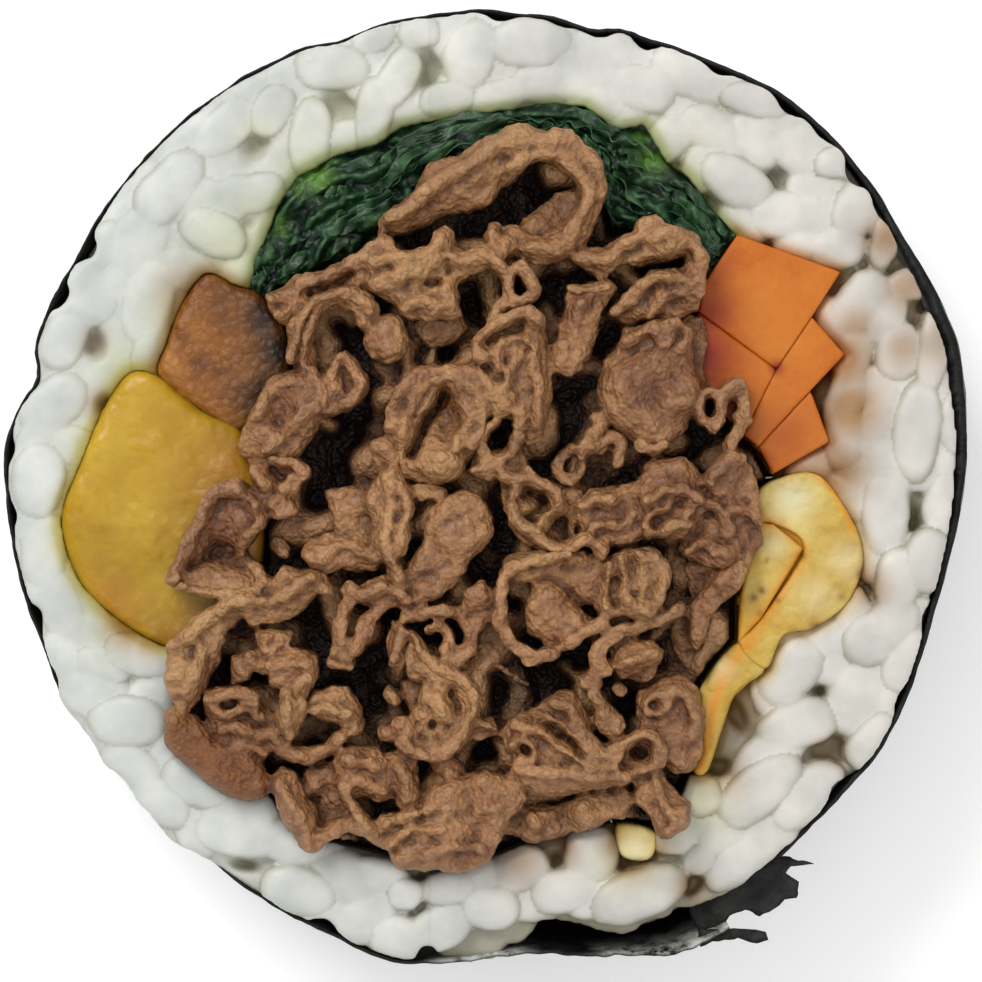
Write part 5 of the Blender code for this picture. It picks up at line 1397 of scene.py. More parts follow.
# Flat and domed slices: top in mm, rounding of the edge in mm, tilt in mm towards the right
# and the top of the photograph, and the outline.
BEEF_SHEETS = {
    "crown_face": (20.6, 1.7, 0.2, 0.7, [
        (378, 240), (376, 224), (388, 210), (408, 200), (424, 180), (433, 165), (455, 156), (480, 143),
        (505, 132), (522, 130), (545, 135), (566, 138), (586, 151), (592, 166), (572, 178), (548, 164),
        (528, 166), (510, 182), (495, 198), (470, 213), (440, 223), (408, 236)]),
    "crown_limb": (20.4, 0.9, 0.3, 0.2, [
        (575, 150), (590, 150), (602, 165), (605, 190), (600, 215), (590, 238), (574, 253), (556, 263),
        (534, 265), (516, 257), (500, 263), (488, 255), (484, 242), (488, 227), (498, 226), (506, 232),
        (516, 226), (530, 236), (550, 238), (568, 228), (577, 210), (580, 190), (574, 172)]),
    "crown_floor": (19.2, 0.5, 0.3, -0.3, [
        (520, 218), (545, 205), (560, 195), (580, 192), (578, 215), (565, 232), (545, 240), (525, 240)]),
    "star_sheet": (20.9, 0.7, 0.2, 0.2, [
        (345, 262), (362, 258), (371, 244), (383, 239), (393, 245), (393, 256), (408, 256), (422, 254),
        (436, 250), (439, 236), (448, 231), (456, 238), (459, 250), (467, 255), (482, 251), (490, 258),
        (485, 269), (471, 276), (461, 286), (463, 300), (458, 310), (464, 318), (450, 323), (438, 318),
        (428, 325), (412, 322), (402, 312), (395, 302), (385, 303), (375, 298), (367, 290), (374, 280),
        (366, 271), (350, 269)]),
    "star_under": (19.2, 0.8, 0.0, 0.0, [
        (420, 318), (462, 312), (468, 330), (456, 344), (434, 347), (420, 336)]),
    "north_wall": (20.1, 0.7, 0.2, 0.3, [
        (267, 294), (284, 290), (298, 277), (320, 274), (338, 268), (352, 262), (366, 262), (369, 275),
        (373, 288), (368, 298), (352, 291), (340, 285), (322, 289), (309, 302), (303, 318), (290, 326),
        (277, 322), (269, 311)]),
    "west_arch": (20.4, 0.8, 0.0, 0.2, [
        (283, 325), (300, 309), (318, 296), (340, 285), (356, 289), (370, 298), (379, 312), (372, 337),
        (358, 326), (353, 311), (341, 306), (332, 312), (326, 325), (318, 335), (315, 350), (319, 366),
        (310, 376), (296, 373), (285, 356), (288, 340)]),
    "west_bulb": (20.3, 1.3, 0.0, 0.0, [
        (369, 331), (377, 320), (392, 317), (406, 325), (412, 340), (406, 356), (392, 365), (376, 361),
        (367, 346)]),
    "west_loop": (20.1, 0.8, 0.0, 0.2, [
        (333, 392), (331, 375), (340, 362), (350, 353), (359, 362), (365, 378), (363, 398), (350, 409),
        (330, 413), (308, 416), (300, 405), (318, 398)]),
    "west_sheet": (20.5, 1.2, 0.2, 0.2, [
        (303, 371), (320, 371), (331, 388), (326, 400), (336, 405), (326, 415), (311, 430), (303, 441),
        (298, 453), (285, 461), (268, 466), (251, 461), (241, 446), (249, 430), (257, 410), (262, 395),
        (271, 382), (288, 374)]),
    "swirl_dome": (20.9, 1.7, 0.0, 0.1, [
        (391, 400), (400, 384), (415, 371), (440, 365), (465, 365), (486, 374), (499, 389), (494, 410),
        (487, 426), (479, 446), (470, 462), (463, 477), (440, 482), (420, 484), (404, 480), (394, 466),
        (391, 440), (387, 420)]),
    "swirl_lobe": (21.3, 0.9, 0.1, 0.0, [
        (404, 456), (424, 443), (445, 445), (463, 452), (468, 466), (456, 478), (430, 476), (410, 470)]),
    "swirl_limb": (20.3, 0.8, 0.0, 0.0, [
        (384, 440), (398, 424), (409, 440), (406, 460), (401, 476), (392, 487), (381, 479), (375, 463),
        (372, 448)]),
    "upright_roll": (21.1, 1.8, -0.2, 0.2, [
        (480, 342), (488, 323), (505, 316), (525, 316), (543, 324), (548, 345), (550, 370), (550, 395),
        (548, 420), (541, 441), (530, 450), (519, 432), (512, 419), (500, 419), (491, 405), (494, 385),
        (484, 372), (477, 358)]),
    "roll_neck": (20.6, 0.7, 0.0, 0.0, [
        (476, 455), (490, 450), (515, 450), (527, 460), (532, 476), (515, 482), (500, 480), (488, 484),
        (477, 476)]),
    "arch_band": (20.7, 0.8, 0.2, 0.1, [
        (571, 258), (582, 251), (605, 253), (620, 244), (635, 237), (640, 225), (650, 221), (660, 231),
        (683, 232), (698, 243), (707, 262), (704, 285), (693, 302), (684, 290), (688, 270), (684, 257),
        (665, 263), (645, 267), (625, 263), (612, 271), (600, 285), (595, 275), (583, 269)]),
    "arch_sheet": (20.1, 1.0, 0.3, 0.2, [
        (603, 320), (617, 305), (635, 289), (650, 275), (672, 270), (691, 272), (699, 290), (694, 312),
        (680, 326), (660, 327), (640, 322), (620, 324)]),
    "flat_strip": (20.6, 0.8, 0.0, -0.2, [
        (569, 300), (576, 286), (590, 282), (607, 281), (616, 291), (606, 301), (599, 313), (597, 330),
        (591, 350), (583, 371), (568, 378), (551, 369), (551, 360), (561, 345), (565, 325)]),
    "north_lump": (20.9, 2.2, 0.1, 0.0, [
        (621, 345), (625, 329), (645, 327), (660, 321), (679, 327), (689, 340), (692, 360), (695, 385),
        (693, 410), (681, 431), (668, 441), (655, 453), (640, 446), (625, 436), (605, 426), (595, 405),
        (595, 385), (604, 365), (617, 352)]),
    "lump_side": (19.2, 0.6, 0.0, 0.0, [(684, 325), (700, 318), (704, 390), (697, 424), (684, 404)]),
    "rosette": (21.2, 2.3, 0.0, 0.0, [
        (639, 475), (647, 463), (662, 458), (681, 461), (697, 474), (702, 495), (700, 515), (691, 531),
        (675, 540), (660, 538), (647, 532), (639, 520), (636, 500), (634, 488)]),
    "rosette_left": (20.2, 1.0, 0.1, 0.0, [
        (573, 500), (590, 490), (605, 490), (620, 487), (639, 482), (642, 510), (641, 527), (630, 537),
        (615, 548), (600, 542), (585, 532), (570, 522)]),
    "east_lump": (20.3, 1.3, 0.0, 0.0, [
        (693, 500), (710, 497), (723, 508), (730, 525), (736, 540), (739, 556), (725, 564), (708, 568),
        (692, 564), (679, 551), (681, 535), (691, 525)]),
    "east_slab": (20.2, 0.8, 0.1, 0.2, [
        (720, 455), (735, 450), (746, 465), (752, 485), (754, 505), (752, 521), (743, 531), (741, 547),
        (728, 537), (721, 515), (714, 500), (706, 491), (703, 480), (711, 467)]),
    "east_lower": (19.5, 0.6, 0.0, 0.0, [
        (737, 520), (753, 518), (757, 540), (749, 562), (738, 577), (731, 560)]),
    "triangle": (20.1, 0.7, 0.2, 0.3, [
        (739, 558), (742, 572), (736, 586), (723, 601), (709, 619), (702, 640), (694, 650), (687, 636),
        (689, 615), (692, 605), (704, 590), (716, 572), (727, 561)]),
    "triangle_face": (19.2, 0.6, 0.0, 0.0, [
        (679, 570), (700, 564), (722, 564), (710, 586), (696, 604), (684, 590)]),
    "flank": (18.7, 0.6, 0.0, 0.0, [
        (676, 600), (690, 604), (690, 640), (696, 655), (690, 676), (676, 660), (668, 636)]),
    "ring_shoulder": (20.5, 0.8, 0.0, 0.0, [
        (500, 575), (505, 560), (520, 550), (540, 548), (560, 552), (580, 550), (585, 562), (560, 568),
        (540, 572), (528, 578), (512, 582)]),
    "ring_heart": (20.9, 1.7, 0.0, -0.1, [
        (529, 580), (545, 574), (560, 581), (573, 592), (582, 605), (592, 621), (581, 637), (565, 644),
        (545, 642), (531, 631), (525, 612), (527, 595)]),
    "ring_granule": (20.3, 0.7, 0.1, 0.1, [
        (542, 560), (570, 553), (600, 553), (620, 564), (617, 587), (602, 603), (582, 598), (562, 582),
        (546, 574)]),
    "petal": (21.1, 0.9, 0.3, 0.0, [
        (600, 562), (615, 553), (628, 549), (642, 546), (656, 551), (666, 565), (666, 585), (657, 603),
        (641, 614), (625, 613), (606, 618), (596, 606), (600, 590), (604, 575)]),
    "lower_sheet": (20.0, 0.7, 0.0, 0.0, [
        (612, 645), (630, 638), (655, 643), (662, 655), (652, 671), (636, 682), (620, 674), (612, 660)]),
    "thread_bed": (20.0, 0.7, 0.0, 0.0, [
        (503, 478), (540, 475), (562, 495), (573, 520), (566, 548), (540, 548), (519, 537), (507, 515),
        (500, 495)]),
    "long_wall": (21.1, 0.9, -0.1, 0.1, [
        (383, 470), (395, 466), (405, 478), (409, 492), (414, 510), (411, 530), (407, 550), (400, 560),
        (405, 575), (412, 587), (402, 592), (391, 581), (387, 568), (381, 560), (376, 545), (376, 520),
        (372, 505), (376, 488)]),
    "wall_foot": (20.5, 0.9, 0.0, 0.0, [
        (354, 590), (367, 581), (385, 577), (400, 587), (415, 588), (432, 583), (430, 599), (411, 607),
        (390, 609), (370, 606), (357, 600)]),
    "leaf": (20.8, 1.3, 0.2, 0.2, [
        (428, 510), (445, 499), (465, 493), (481, 501), (490, 519), (492, 535), (482, 551), (466, 567),
        (449, 584), (433, 598), (415, 605), (404, 598), (407, 578), (414, 560), (423, 540), (427, 525)]),
    "leaf_strip": (20.3, 0.5, 0.0, 0.0, [(408, 490), (430, 484), (447, 489), (441, 499), (420, 501)]),
    "cross_strip": (20.4, 0.9, -0.1, 0.0, [
        (307, 552), (314, 539), (330, 534), (350, 536), (368, 532), (380, 545), (384, 559), (375, 570),
        (355, 572), (335, 567), (318, 570), (309, 563)]),
    "grainy_spot": (19.8, 0.6, 0.0, 0.0, [
        (325, 490), (345, 486), (368, 488), (376, 505), (376, 530), (366, 540), (345, 542), (334, 525),
        (329, 508)]),
    "cup": (20.4, 1.1, 0.0, 0.0, [
        (214, 489), (240, 485), (256, 493), (264, 505), (267, 520), (258, 535), (252, 548), (264, 562),
        (265, 575), (260, 591), (251, 600), (238, 604), (225, 597), (212, 592), (195, 590), (177, 584),
        (170, 572), (178, 558), (183, 545), (191, 530), (201, 518), (204, 502)]),
    "west_crumbs": (19.9, 0.8, 0.0, 0.0, [
        (250, 460), (262, 454), (280, 457), (300, 459), (310, 472), (302, 490), (298, 510), (291, 520),
        (275, 517), (261, 502), (254, 482)]),
    "long_ruffle": (20.8, 1.0, 0.0, 0.1, [
        (322, 566), (330, 580), (321, 593), (306, 606), (290, 613), (272, 616), (262, 624), (245, 617),
        (230, 629), (224, 645), (219, 659), (208, 669), (202, 686), (194, 701), (185, 714), (174, 702),
        (170, 685), (178, 665), (178, 645), (188, 624), (204, 613), (224, 601), (250, 590), (270, 576),
        (285, 566), (300, 570)]),
    "hollow_bit": (20.2, 0.8, 0.0, 0.0, [
        (261, 630), (278, 623), (296, 627), (294, 646), (280, 657), (264, 649)]),
    "hollow_fold": (20.2, 0.6, 0.0, 0.0, [
        (231, 655), (245, 646), (258, 648), (272, 660), (263, 670), (251, 667), (246, 677), (231, 680)]),
    "hollow_sheet": (20.3, 0.9, 0.0, 0.1, [
        (269, 660), (285, 654), (300, 648), (320, 658), (324, 672), (313, 691), (306, 707), (292, 702),
        (284, 686), (271, 681)]),
    "small_petal": (21.0, 0.7, 0.0, 0.2, [
        (284, 685), (292, 682), (298, 694), (306, 689), (312, 700), (309, 716), (303, 731), (297, 740),
        (289, 729), (281, 716), (283, 700)]),
    "upper_hoop": (19.9, 0.8, 0.0, 0.2, [
        (311, 706), (319, 689), (335, 683), (351, 686), (362, 705), (364, 726), (355, 734), (347, 723),
        (340, 716), (325, 718)]),
    "sauced_bits": (20.0, 0.8, -0.1, -0.1, [
        (203, 700), (240, 701), (270, 704), (284, 720), (282, 745), (263, 757), (240, 750), (219, 737),
        (206, 718)]),
    "glossy_slab": (20.5, 1.6, 0.0, 0.3, [
        (164, 712), (175, 703), (196, 711), (213, 733), (240, 743), (262, 759), (272, 778), (267, 791),
        (250, 798), (229, 792), (204, 772), (183, 753), (168, 740)]),
    "south_side": (20.3, 0.8, 0.0, 0.0, [
        (461, 592), (478, 583), (492, 600), (490, 619), (476, 630), (465, 612)]),
    "crumple_left": (20.4, 0.7, 0.0, 0.2, [
        (384, 640), (395, 622), (404, 640), (407, 655), (402, 672), (388, 667)]),
    "crumple_band": (20.8, 0.7, 0.1, 0.0, [
        (403, 640), (410, 630), (421, 641), (431, 657), (449, 667), (466, 671), (476, 685), (482, 705),
        (478, 723), (469, 737), (456, 750), (440, 758), (425, 757), (411, 747), (404, 735), (420, 737),
        (440, 735), (450, 722), (458, 710), (455, 695), (445, 683), (425, 679), (409, 669), (401, 655)]),
    "crumple_bed": (19.7, 0.6, 0.0, 0.0, [
        (408, 678), (450, 673), (464, 700), (457, 732), (430, 742), (410, 727)]),
    "crumple_tip": (20.5, 0.7, 0.0, 0.0, [(474, 713), (496, 716), (500, 733), (480, 740), (468, 733)]),
    "crumple_foot": (19.9, 0.6, 0.0, 0.0, [(428, 755), (452, 750), (464, 765), (449, 774), (434, 767)]),
    "grainy_block": (20.6, 1.1, 0.0, 0.1, [
        (340, 760), (349, 747), (362, 742), (379, 746), (390, 760), (394, 775), (392, 793), (380, 799),
        (367, 790), (351, 782), (342, 772)]),
    "grainy_post": (20.4, 0.9, 0.0, 0.0, [
        (391, 752), (405, 750), (417, 761), (420, 778), (417, 796), (402, 800), (393, 786), (389, 765)]),
    "corner_sheet": (20.3, 0.9, 0.2, -0.2, [
        (270, 775), (285, 766), (300, 774), (310, 795), (320, 812), (325, 828), (322, 842), (310, 851),
        (299, 845), (288, 829), (280, 812), (276, 795)]),
    "corner_under": (19.3, 0.7, 0.0, 0.0, [
        (308, 770), (335, 763), (352, 785), (360, 800), (352, 820), (325, 822), (314, 800)]),
    "lip_right": (20.4, 0.9, 0.0, 0.0, [
        (370, 822), (385, 810), (398, 806), (413, 798), (420, 812), (420, 829), (411, 842), (395, 844),
        (381, 840)]),
    "south_slab": (20.6, 1.0, 0.1, 0.2, [
        (424, 795), (434, 781), (455, 772), (475, 770), (496, 773), (516, 781), (528, 792), (519, 802),
        (510, 810), (504, 823), (498, 839), (492, 857), (476, 867), (450, 869), (425, 864), (399, 860),
        (393, 848), (409, 843), (419, 830), (420, 812)]),
    "south_shade": (19.3, 0.7, 0.0, 0.0, [
        (503, 815), (530, 799), (560, 799), (590, 794), (620, 789), (637, 798), (621, 817), (600, 824),
        (575, 830), (550, 837), (520, 837), (503, 831)]),
    "south_roll": (20.9, 1.8, 0.0, 0.1, [
        (506, 745), (513, 762), (508, 773), (519, 782), (540, 788), (570, 790), (600, 788), (626, 784),
        (640, 776), (647, 761), (657, 755), (653, 739), (640, 730), (625, 736), (605, 743), (591, 733),
        (586, 715), (581, 699), (570, 688), (555, 686), (544, 693), (534, 704), (519, 710), (506, 724)]),
    "south_lump": (20.2, 1.3, 0.2, 0.0, [
        (638, 690), (655, 678), (675, 676), (692, 683), (700, 700), (702, 725), (700, 751), (691, 767),
        (672, 770), (658, 762), (652, 746), (641, 736), (634, 715), (635, 700)]),
    "tail": (20.4, 0.9, 0.0, 0.2, [
        (640, 745), (656, 759), (661, 777), (673, 789), (684, 800), (687, 815), (680, 829), (666, 838),
        (655, 832), (648, 816), (638, 806), (634, 785), (638, 765)]),
}
# Rolled edges, threads and beads: width in mm, top in mm and the spine.
BEEF_EDGES = [
    (0.9, 21.1, [(512, 172), (532, 161), (558, 160), (577, 172), (586, 195), (580, 220), (566, 240)]),
    (1.2, 21.2, [(392, 222), (420, 205), (450, 180), (485, 158), (520, 145), (555, 148)]),
    (1.0, 20.9, [(492, 240), (500, 254), (512, 246)]),
    (1.3, 20.9, [(530, 250), (548, 252), (562, 246)]),
    (0.9, 21.4, [(376, 268), (392, 262), (412, 262), (434, 258), (447, 242)]),
    (1.0, 21.5, [(378, 292), (392, 282), (408, 272), (428, 272), (446, 262), (478, 260)]),
    (1.1, 21.4, [(408, 312), (420, 304), (436, 308), (452, 302), (452, 286)]),
    (0.8, 20.7, [(272, 300), (290, 296), (306, 284), (330, 278), (358, 270)]),
    (0.8, 20.5, [(276, 316), (290, 310), (298, 298)]),
    (0.9, 21.0, [(292, 362), (296, 335), (308, 314), (328, 298), (352, 296), (370, 312)]),
    (0.8, 20.8, [(306, 370), (308, 345), (318, 322)]),
    (0.8, 20.8, [(338, 396), (336, 376), (348, 360), (358, 378), (354, 398), (330, 408)]),
    (0.9, 21.0, [(316, 376), (328, 392), (322, 404)]),
    (0.9, 20.9, [(262, 420), (272, 394), (292, 384), (310, 386)]),
    (0.8, 20.9, [(270, 452), (284, 430), (304, 414), (322, 406)]),
    (0.9, 21.4, [(391, 424), (396, 396), (416, 378), (448, 371), (478, 380), (491, 400)]),
    (0.8, 21.5, [(402, 432), (408, 404), (428, 386), (454, 381), (474, 394), (480, 418), (474, 444)]),
    (0.7, 21.5, [(412, 446), (420, 418), (440, 397), (459, 394), (468, 410), (466, 432), (458, 448)]),
    (1.2, 20.9, [(380, 448), (387, 446), (390, 456)]),
    (0.9, 21.7, [(479, 362), (481, 338), (496, 322), (520, 318), (541, 328)]),
    (0.8, 21.6, [(498, 368), (497, 346), (512, 338), (522, 350), (514, 368), (506, 388)]),
    (0.7, 21.5, [(526, 344), (534, 366), (538, 396), (538, 428)]),
    (1.9, 21.6, [(499, 399), (503, 406)]),
    (0.9, 21.4, [(520, 412), (522, 428)]),
    (0.9, 21.1, [
        (522, 424), (519, 442), (512, 454), (499, 460), (486, 455), (481, 440), (485, 426), (496, 421)]),
    (0.9, 21.0, [(479, 470), (496, 468), (510, 474), (528, 470)]),
    (0.8, 21.2, [(491, 260), (502, 270), (509, 282), (508, 298)]),
    (1.0, 21.3, [(520, 271), (529, 285), (533, 300), (520, 307), (505, 304), (495, 312), (490, 324)]),
    (0.9, 21.2, [(576, 260), (604, 262), (632, 246), (652, 240), (676, 240), (696, 258), (698, 282)]),
    (1.1, 21.3, [(644, 230), (650, 244)]),
    (1.2, 21.2, [(670, 248), (680, 252)]),
    (0.9, 20.8, [(612, 316), (630, 300), (654, 284), (680, 280)]),
    (0.8, 20.7, [(652, 320), (664, 300), (684, 296)]),
    (0.8, 21.1, [(574, 290), (590, 292), (606, 288)]),
    (0.8, 21.0, [(562, 362), (574, 338), (580, 310), (590, 298)]),
    (0.7, 21.2, [(626, 342), (642, 334), (664, 330), (684, 336), (680, 352)]),
    (0.7, 21.4, [(656, 330), (664, 346), (674, 330)]),
    (0.9, 20.6, [(640, 444), (650, 450), (662, 442)]),
    (0.8, 20.4, [(702, 424), (698, 406), (708, 397), (720, 402), (718, 418), (711, 431)]),
    (0.9, 20.6, [(722, 402), (734, 387), (741, 398), (738, 420), (732, 438), (728, 450)]),
    (1.0, 20.4, [(736, 416), (741, 420)]),
    (1.1, 19.8, [(594, 420), (596, 430), (586, 442), (580, 448)]),
    (1.0, 19.9, [(578, 450), (598, 446), (612, 438), (620, 446), (619, 462)]),
    (0.8, 19.9, [(559, 455), (570, 449), (580, 460), (575, 474), (562, 475), (556, 464), (560, 455)]),
    (0.7, 21.6, [(642, 526), (654, 516), (670, 508), (684, 511)]),
    (0.7, 21.5, [(644, 536), (658, 534), (668, 525), (680, 524)]),
    (0.7, 21.7, [(646, 500), (660, 492), (680, 494), (694, 504)]),
    (0.8, 20.9, [(580, 506), (596, 498), (612, 500)]),
    (0.8, 20.8, [(590, 526), (606, 520), (620, 526), (634, 516)]),
    (0.9, 20.9, [(606, 536), (620, 540), (636, 532)]),
    (0.8, 20.9, [(706, 484), (714, 470), (726, 458), (738, 456)]),
    (0.8, 20.7, [(728, 514), (742, 512), (752, 520)]),
    (0.7, 21.0, [(690, 512), (704, 506), (718, 518), (722, 536)]),
    (0.7, 20.9, [(688, 552), (702, 544), (720, 552)]),
    (0.9, 21.6, [
        (560, 552), (540, 556), (516, 563), (503, 578), (496, 598), (498, 618), (508, 635), (522, 648),
        (540, 654), (556, 648)]),
    (0.8, 21.2, [(570, 640), (586, 630), (600, 620)]),
    (0.7, 21.7, [(608, 562), (614, 584), (608, 604)]),
    (0.7, 21.7, [(622, 556), (628, 578), (622, 600)]),
    (0.8, 21.6, [(636, 552), (656, 560), (660, 584), (646, 606)]),
    (1.1, 21.0, [(674, 612), (652, 617), (630, 626), (612, 632), (600, 641), (598, 656), (606, 668)]),
    (0.9, 20.7, [(622, 664), (640, 656), (654, 654)]),
    (1.0, 21.3, [(504, 480), (520, 478), (540, 482), (552, 493), (555, 510), (545, 519)]),
    (0.9, 21.2, [(530, 500), (520, 511), (512, 502), (515, 489)]),
    (0.9, 21.7, [(512, 508), (518, 521), (534, 530), (548, 541), (561, 545), (578, 540), (589, 538)]),
    (1.3, 21.5, [(596, 546), (599, 550)]),
    (0.9, 20.9, [(582, 678), (596, 684), (590, 672)]),
    (0.9, 20.8, [(592, 688), (598, 702), (604, 712)]),
    (1.8, 20.8, [(603, 716), (608, 722)]),
    (0.9, 20.2, [(619, 686), (621, 690)]),
    (0.8, 21.6, [(388, 474), (392, 500), (388, 530), (392, 560), (402, 580)]),
    (0.7, 21.5, [(404, 490), (409, 512), (404, 540)]),
    (0.8, 21.0, [(360, 596), (384, 588), (410, 598)]),
    (0.8, 20.9, [(314, 556), (334, 546), (360, 548), (376, 560)]),
    (1.0, 20.8, [(352, 586), (347, 605), (342, 626), (339, 650)]),
    (1.1, 20.6, [(386, 604), (371, 618), (359, 637), (348, 655)]),
    (1.1, 20.2, [(338, 660), (350, 664)]),
    (1.0, 21.2, [(176, 574), (186, 556), (196, 536), (206, 516), (216, 496), (240, 490)]),
    (0.9, 21.0, [(184, 584), (206, 586), (232, 596), (250, 590)]),
    (0.9, 21.0, [(256, 504), (262, 520), (250, 536), (246, 552)]),
    (0.8, 21.0, [(258, 562), (263, 576), (254, 590)]),
    (1.5, 20.8, [(263, 474), (268, 480)]),
    (0.8, 20.7, [(278, 462), (292, 462), (304, 470), (300, 482), (288, 488)]),
    (0.8, 20.5, [(278, 500), (290, 500), (292, 510), (282, 514), (274, 506)]),
    (1.1, 19.2, [(283, 545), (288, 552)]),
    (0.9, 21.4, [(314, 574), (298, 586), (272, 596), (242, 604), (214, 616), (196, 634)]),
    (0.8, 21.3, [(206, 648), (198, 668), (190, 690)]),
    (0.9, 21.0, [(322, 584), (330, 592)]),
    (0.9, 20.7, [(274, 664), (292, 662), (310, 666)]),
    (0.8, 20.7, [(290, 690), (302, 680), (314, 676)]),
    (1.1, 20.9, [(208, 692), (234, 689), (258, 698)]),
    (0.7, 20.7, [(214, 706), (232, 712), (250, 708), (266, 716)]),
    (0.7, 20.6, [(222, 726), (242, 728), (262, 734), (276, 728)]),
    (0.7, 20.5, [(236, 742), (254, 744), (268, 750)]),
    (0.8, 21.4, [(291, 690), (293, 712), (297, 732)]),
    (0.8, 20.5, [(318, 708), (334, 702), (352, 710)]),
    (1.2, 20.4, [(276, 734), (290, 748), (310, 755), (330, 749), (343, 734)]),
    (1.0, 20.5, [(408, 618), (430, 612), (452, 612), (470, 625), (473, 640), (461, 653), (447, 663)]),
    (0.9, 20.6, [(428, 632), (440, 628), (450, 640), (444, 652)]),
    (0.8, 21.3, [(410, 636), (420, 652), (440, 668), (462, 676), (474, 696), (472, 716)]),
    (0.8, 21.1, [(390, 660), (396, 642), (400, 630)]),
    (2.1, 21.5, [(437, 696), (442, 704)]),
    (1.2, 21.0, [(418, 708), (421, 710)]),
    (1.2, 20.7, [(384, 730), (388, 732)]),
    (1.5, 20.9, [(400, 720), (406, 730)]),
    (0.9, 21.3, [(402, 738), (414, 749), (432, 756), (450, 746), (464, 728), (470, 712)]),
    (0.8, 20.6, [(420, 722), (432, 730), (444, 722)]),
    (0.8, 21.0, [(482, 722), (494, 726)]),
    (1.0, 20.8, [(392, 690), (398, 694)]),
    (0.8, 21.1, [(352, 756), (368, 754), (380, 764)]),
    (0.8, 21.0, [(352, 774), (370, 778), (384, 788)]),
    (0.8, 20.9, [(400, 762), (408, 776), (406, 790)]),
    (0.9, 20.9, [(282, 780), (294, 800), (304, 826), (310, 842)]),
    (1.2, 20.7, [(310, 840), (332, 827), (356, 823), (378, 830)]),
    (0.8, 21.1, [(349, 780), (357, 798), (366, 819)]),
    (0.9, 20.9, [(388, 820), (402, 812), (414, 808)]),
    (0.8, 20.9, [(392, 836), (406, 828), (416, 820)]),
    (0.8, 21.1, [(424, 822), (450, 814), (472, 806), (498, 800)]),
    (0.8, 21.0, [(432, 846), (456, 840), (482, 846)]),
    (1.3, 20.1, [(581, 808), (584, 814)]),
    (1.1, 19.9, [(528, 812), (533, 816)]),
    (0.7, 21.6, [(520, 716), (544, 730), (566, 750), (588, 760), (612, 762)]),
    (0.7, 21.6, [(534, 706), (560, 724), (584, 746), (616, 752)]),
    (0.8, 21.5, [(552, 694), (568, 706), (580, 728), (594, 742)]),
    (0.9, 21.4, [(516, 764), (546, 768), (586, 772), (626, 772)]),
    (0.7, 21.5, [(514, 742), (522, 734), (532, 742), (530, 756), (520, 758)]),
    (0.9, 21.5, [(600, 750), (620, 741), (640, 734), (655, 744), (651, 760), (636, 766)]),
    (0.8, 20.9, [(644, 704), (652, 692), (662, 698), (656, 710), (646, 710)]),
    (0.8, 20.8, [(664, 688), (682, 692), (692, 708), (692, 732)]),
    (0.8, 21.0, [(646, 760), (652, 782), (664, 800), (674, 816)]),
    (0.9, 20.9, [(668, 828), (678, 820), (678, 806)]),
    (0.6, 18.9, [(498, 664), (514, 671), (530, 678)]),
]
# Sunken creases and holes between the folds: half width in mm, depth in mm and the line.
BEEF_CREASES = [
    (0.45, 1.9, [(449, 398), (432, 414), (421, 430), (412, 450)]),
    (0.8, 0.9, [(450, 412), (448, 424)]),
    (0.3, 0.7, [(426, 286), (438, 284)]), (0.28, 0.8, [(452, 264), (455, 270)]),
    (0.3, 0.9, [(310, 294), (334, 288), (352, 281)]),
    (0.35, 0.8, [(488, 342), (504, 332), (518, 334)]), (0.3, 0.7, [(520, 346), (528, 354)]),
    (0.5, 2.2, [(499, 436), (501, 444)]),
    (0.35, 1.5, [(640, 268), (664, 266), (682, 260)]),
    (0.9, 1.5, [(222, 548), (244, 556)]), (0.4, 0.7, [(196, 560), (212, 552)]),
    (0.3, 0.8, [(650, 522), (664, 514), (676, 506)]), (0.35, 0.9, [(640, 542), (656, 542)]),
    (0.4, 1.3, [(615, 576), (616, 600)]), (0.3, 1.0, [(628, 562), (630, 590)]),
    (0.5, 1.4, [(528, 494), (540, 500)]), (0.5, 1.4, [(556, 518), (562, 532)]),
    (0.3, 0.8, [(524, 742), (526, 750)]), (0.3, 0.9, [(548, 722), (562, 738), (576, 748)]),
    (0.5, 1.8, [(632, 750), (637, 752)]), (0.3, 0.6, [(540, 712), (560, 730), (580, 752)]),
    (0.4, 0.9, [(424, 818), (448, 813), (468, 806)]), (0.4, 0.9, [(452, 688), (456, 704)]),
    (0.3, 0.7, [(646, 702), (650, 706)]), (0.35, 0.8, [(560, 736), (572, 744)]),
    (0.35, 0.8, [(706, 402), (710, 414)]), (0.35, 1.0, [(426, 636), (436, 642)]),
    (0.35, 0.9, [(320, 800), (322, 820)]), (0.35, 0.8, [(262, 506), (270, 512)]),
]
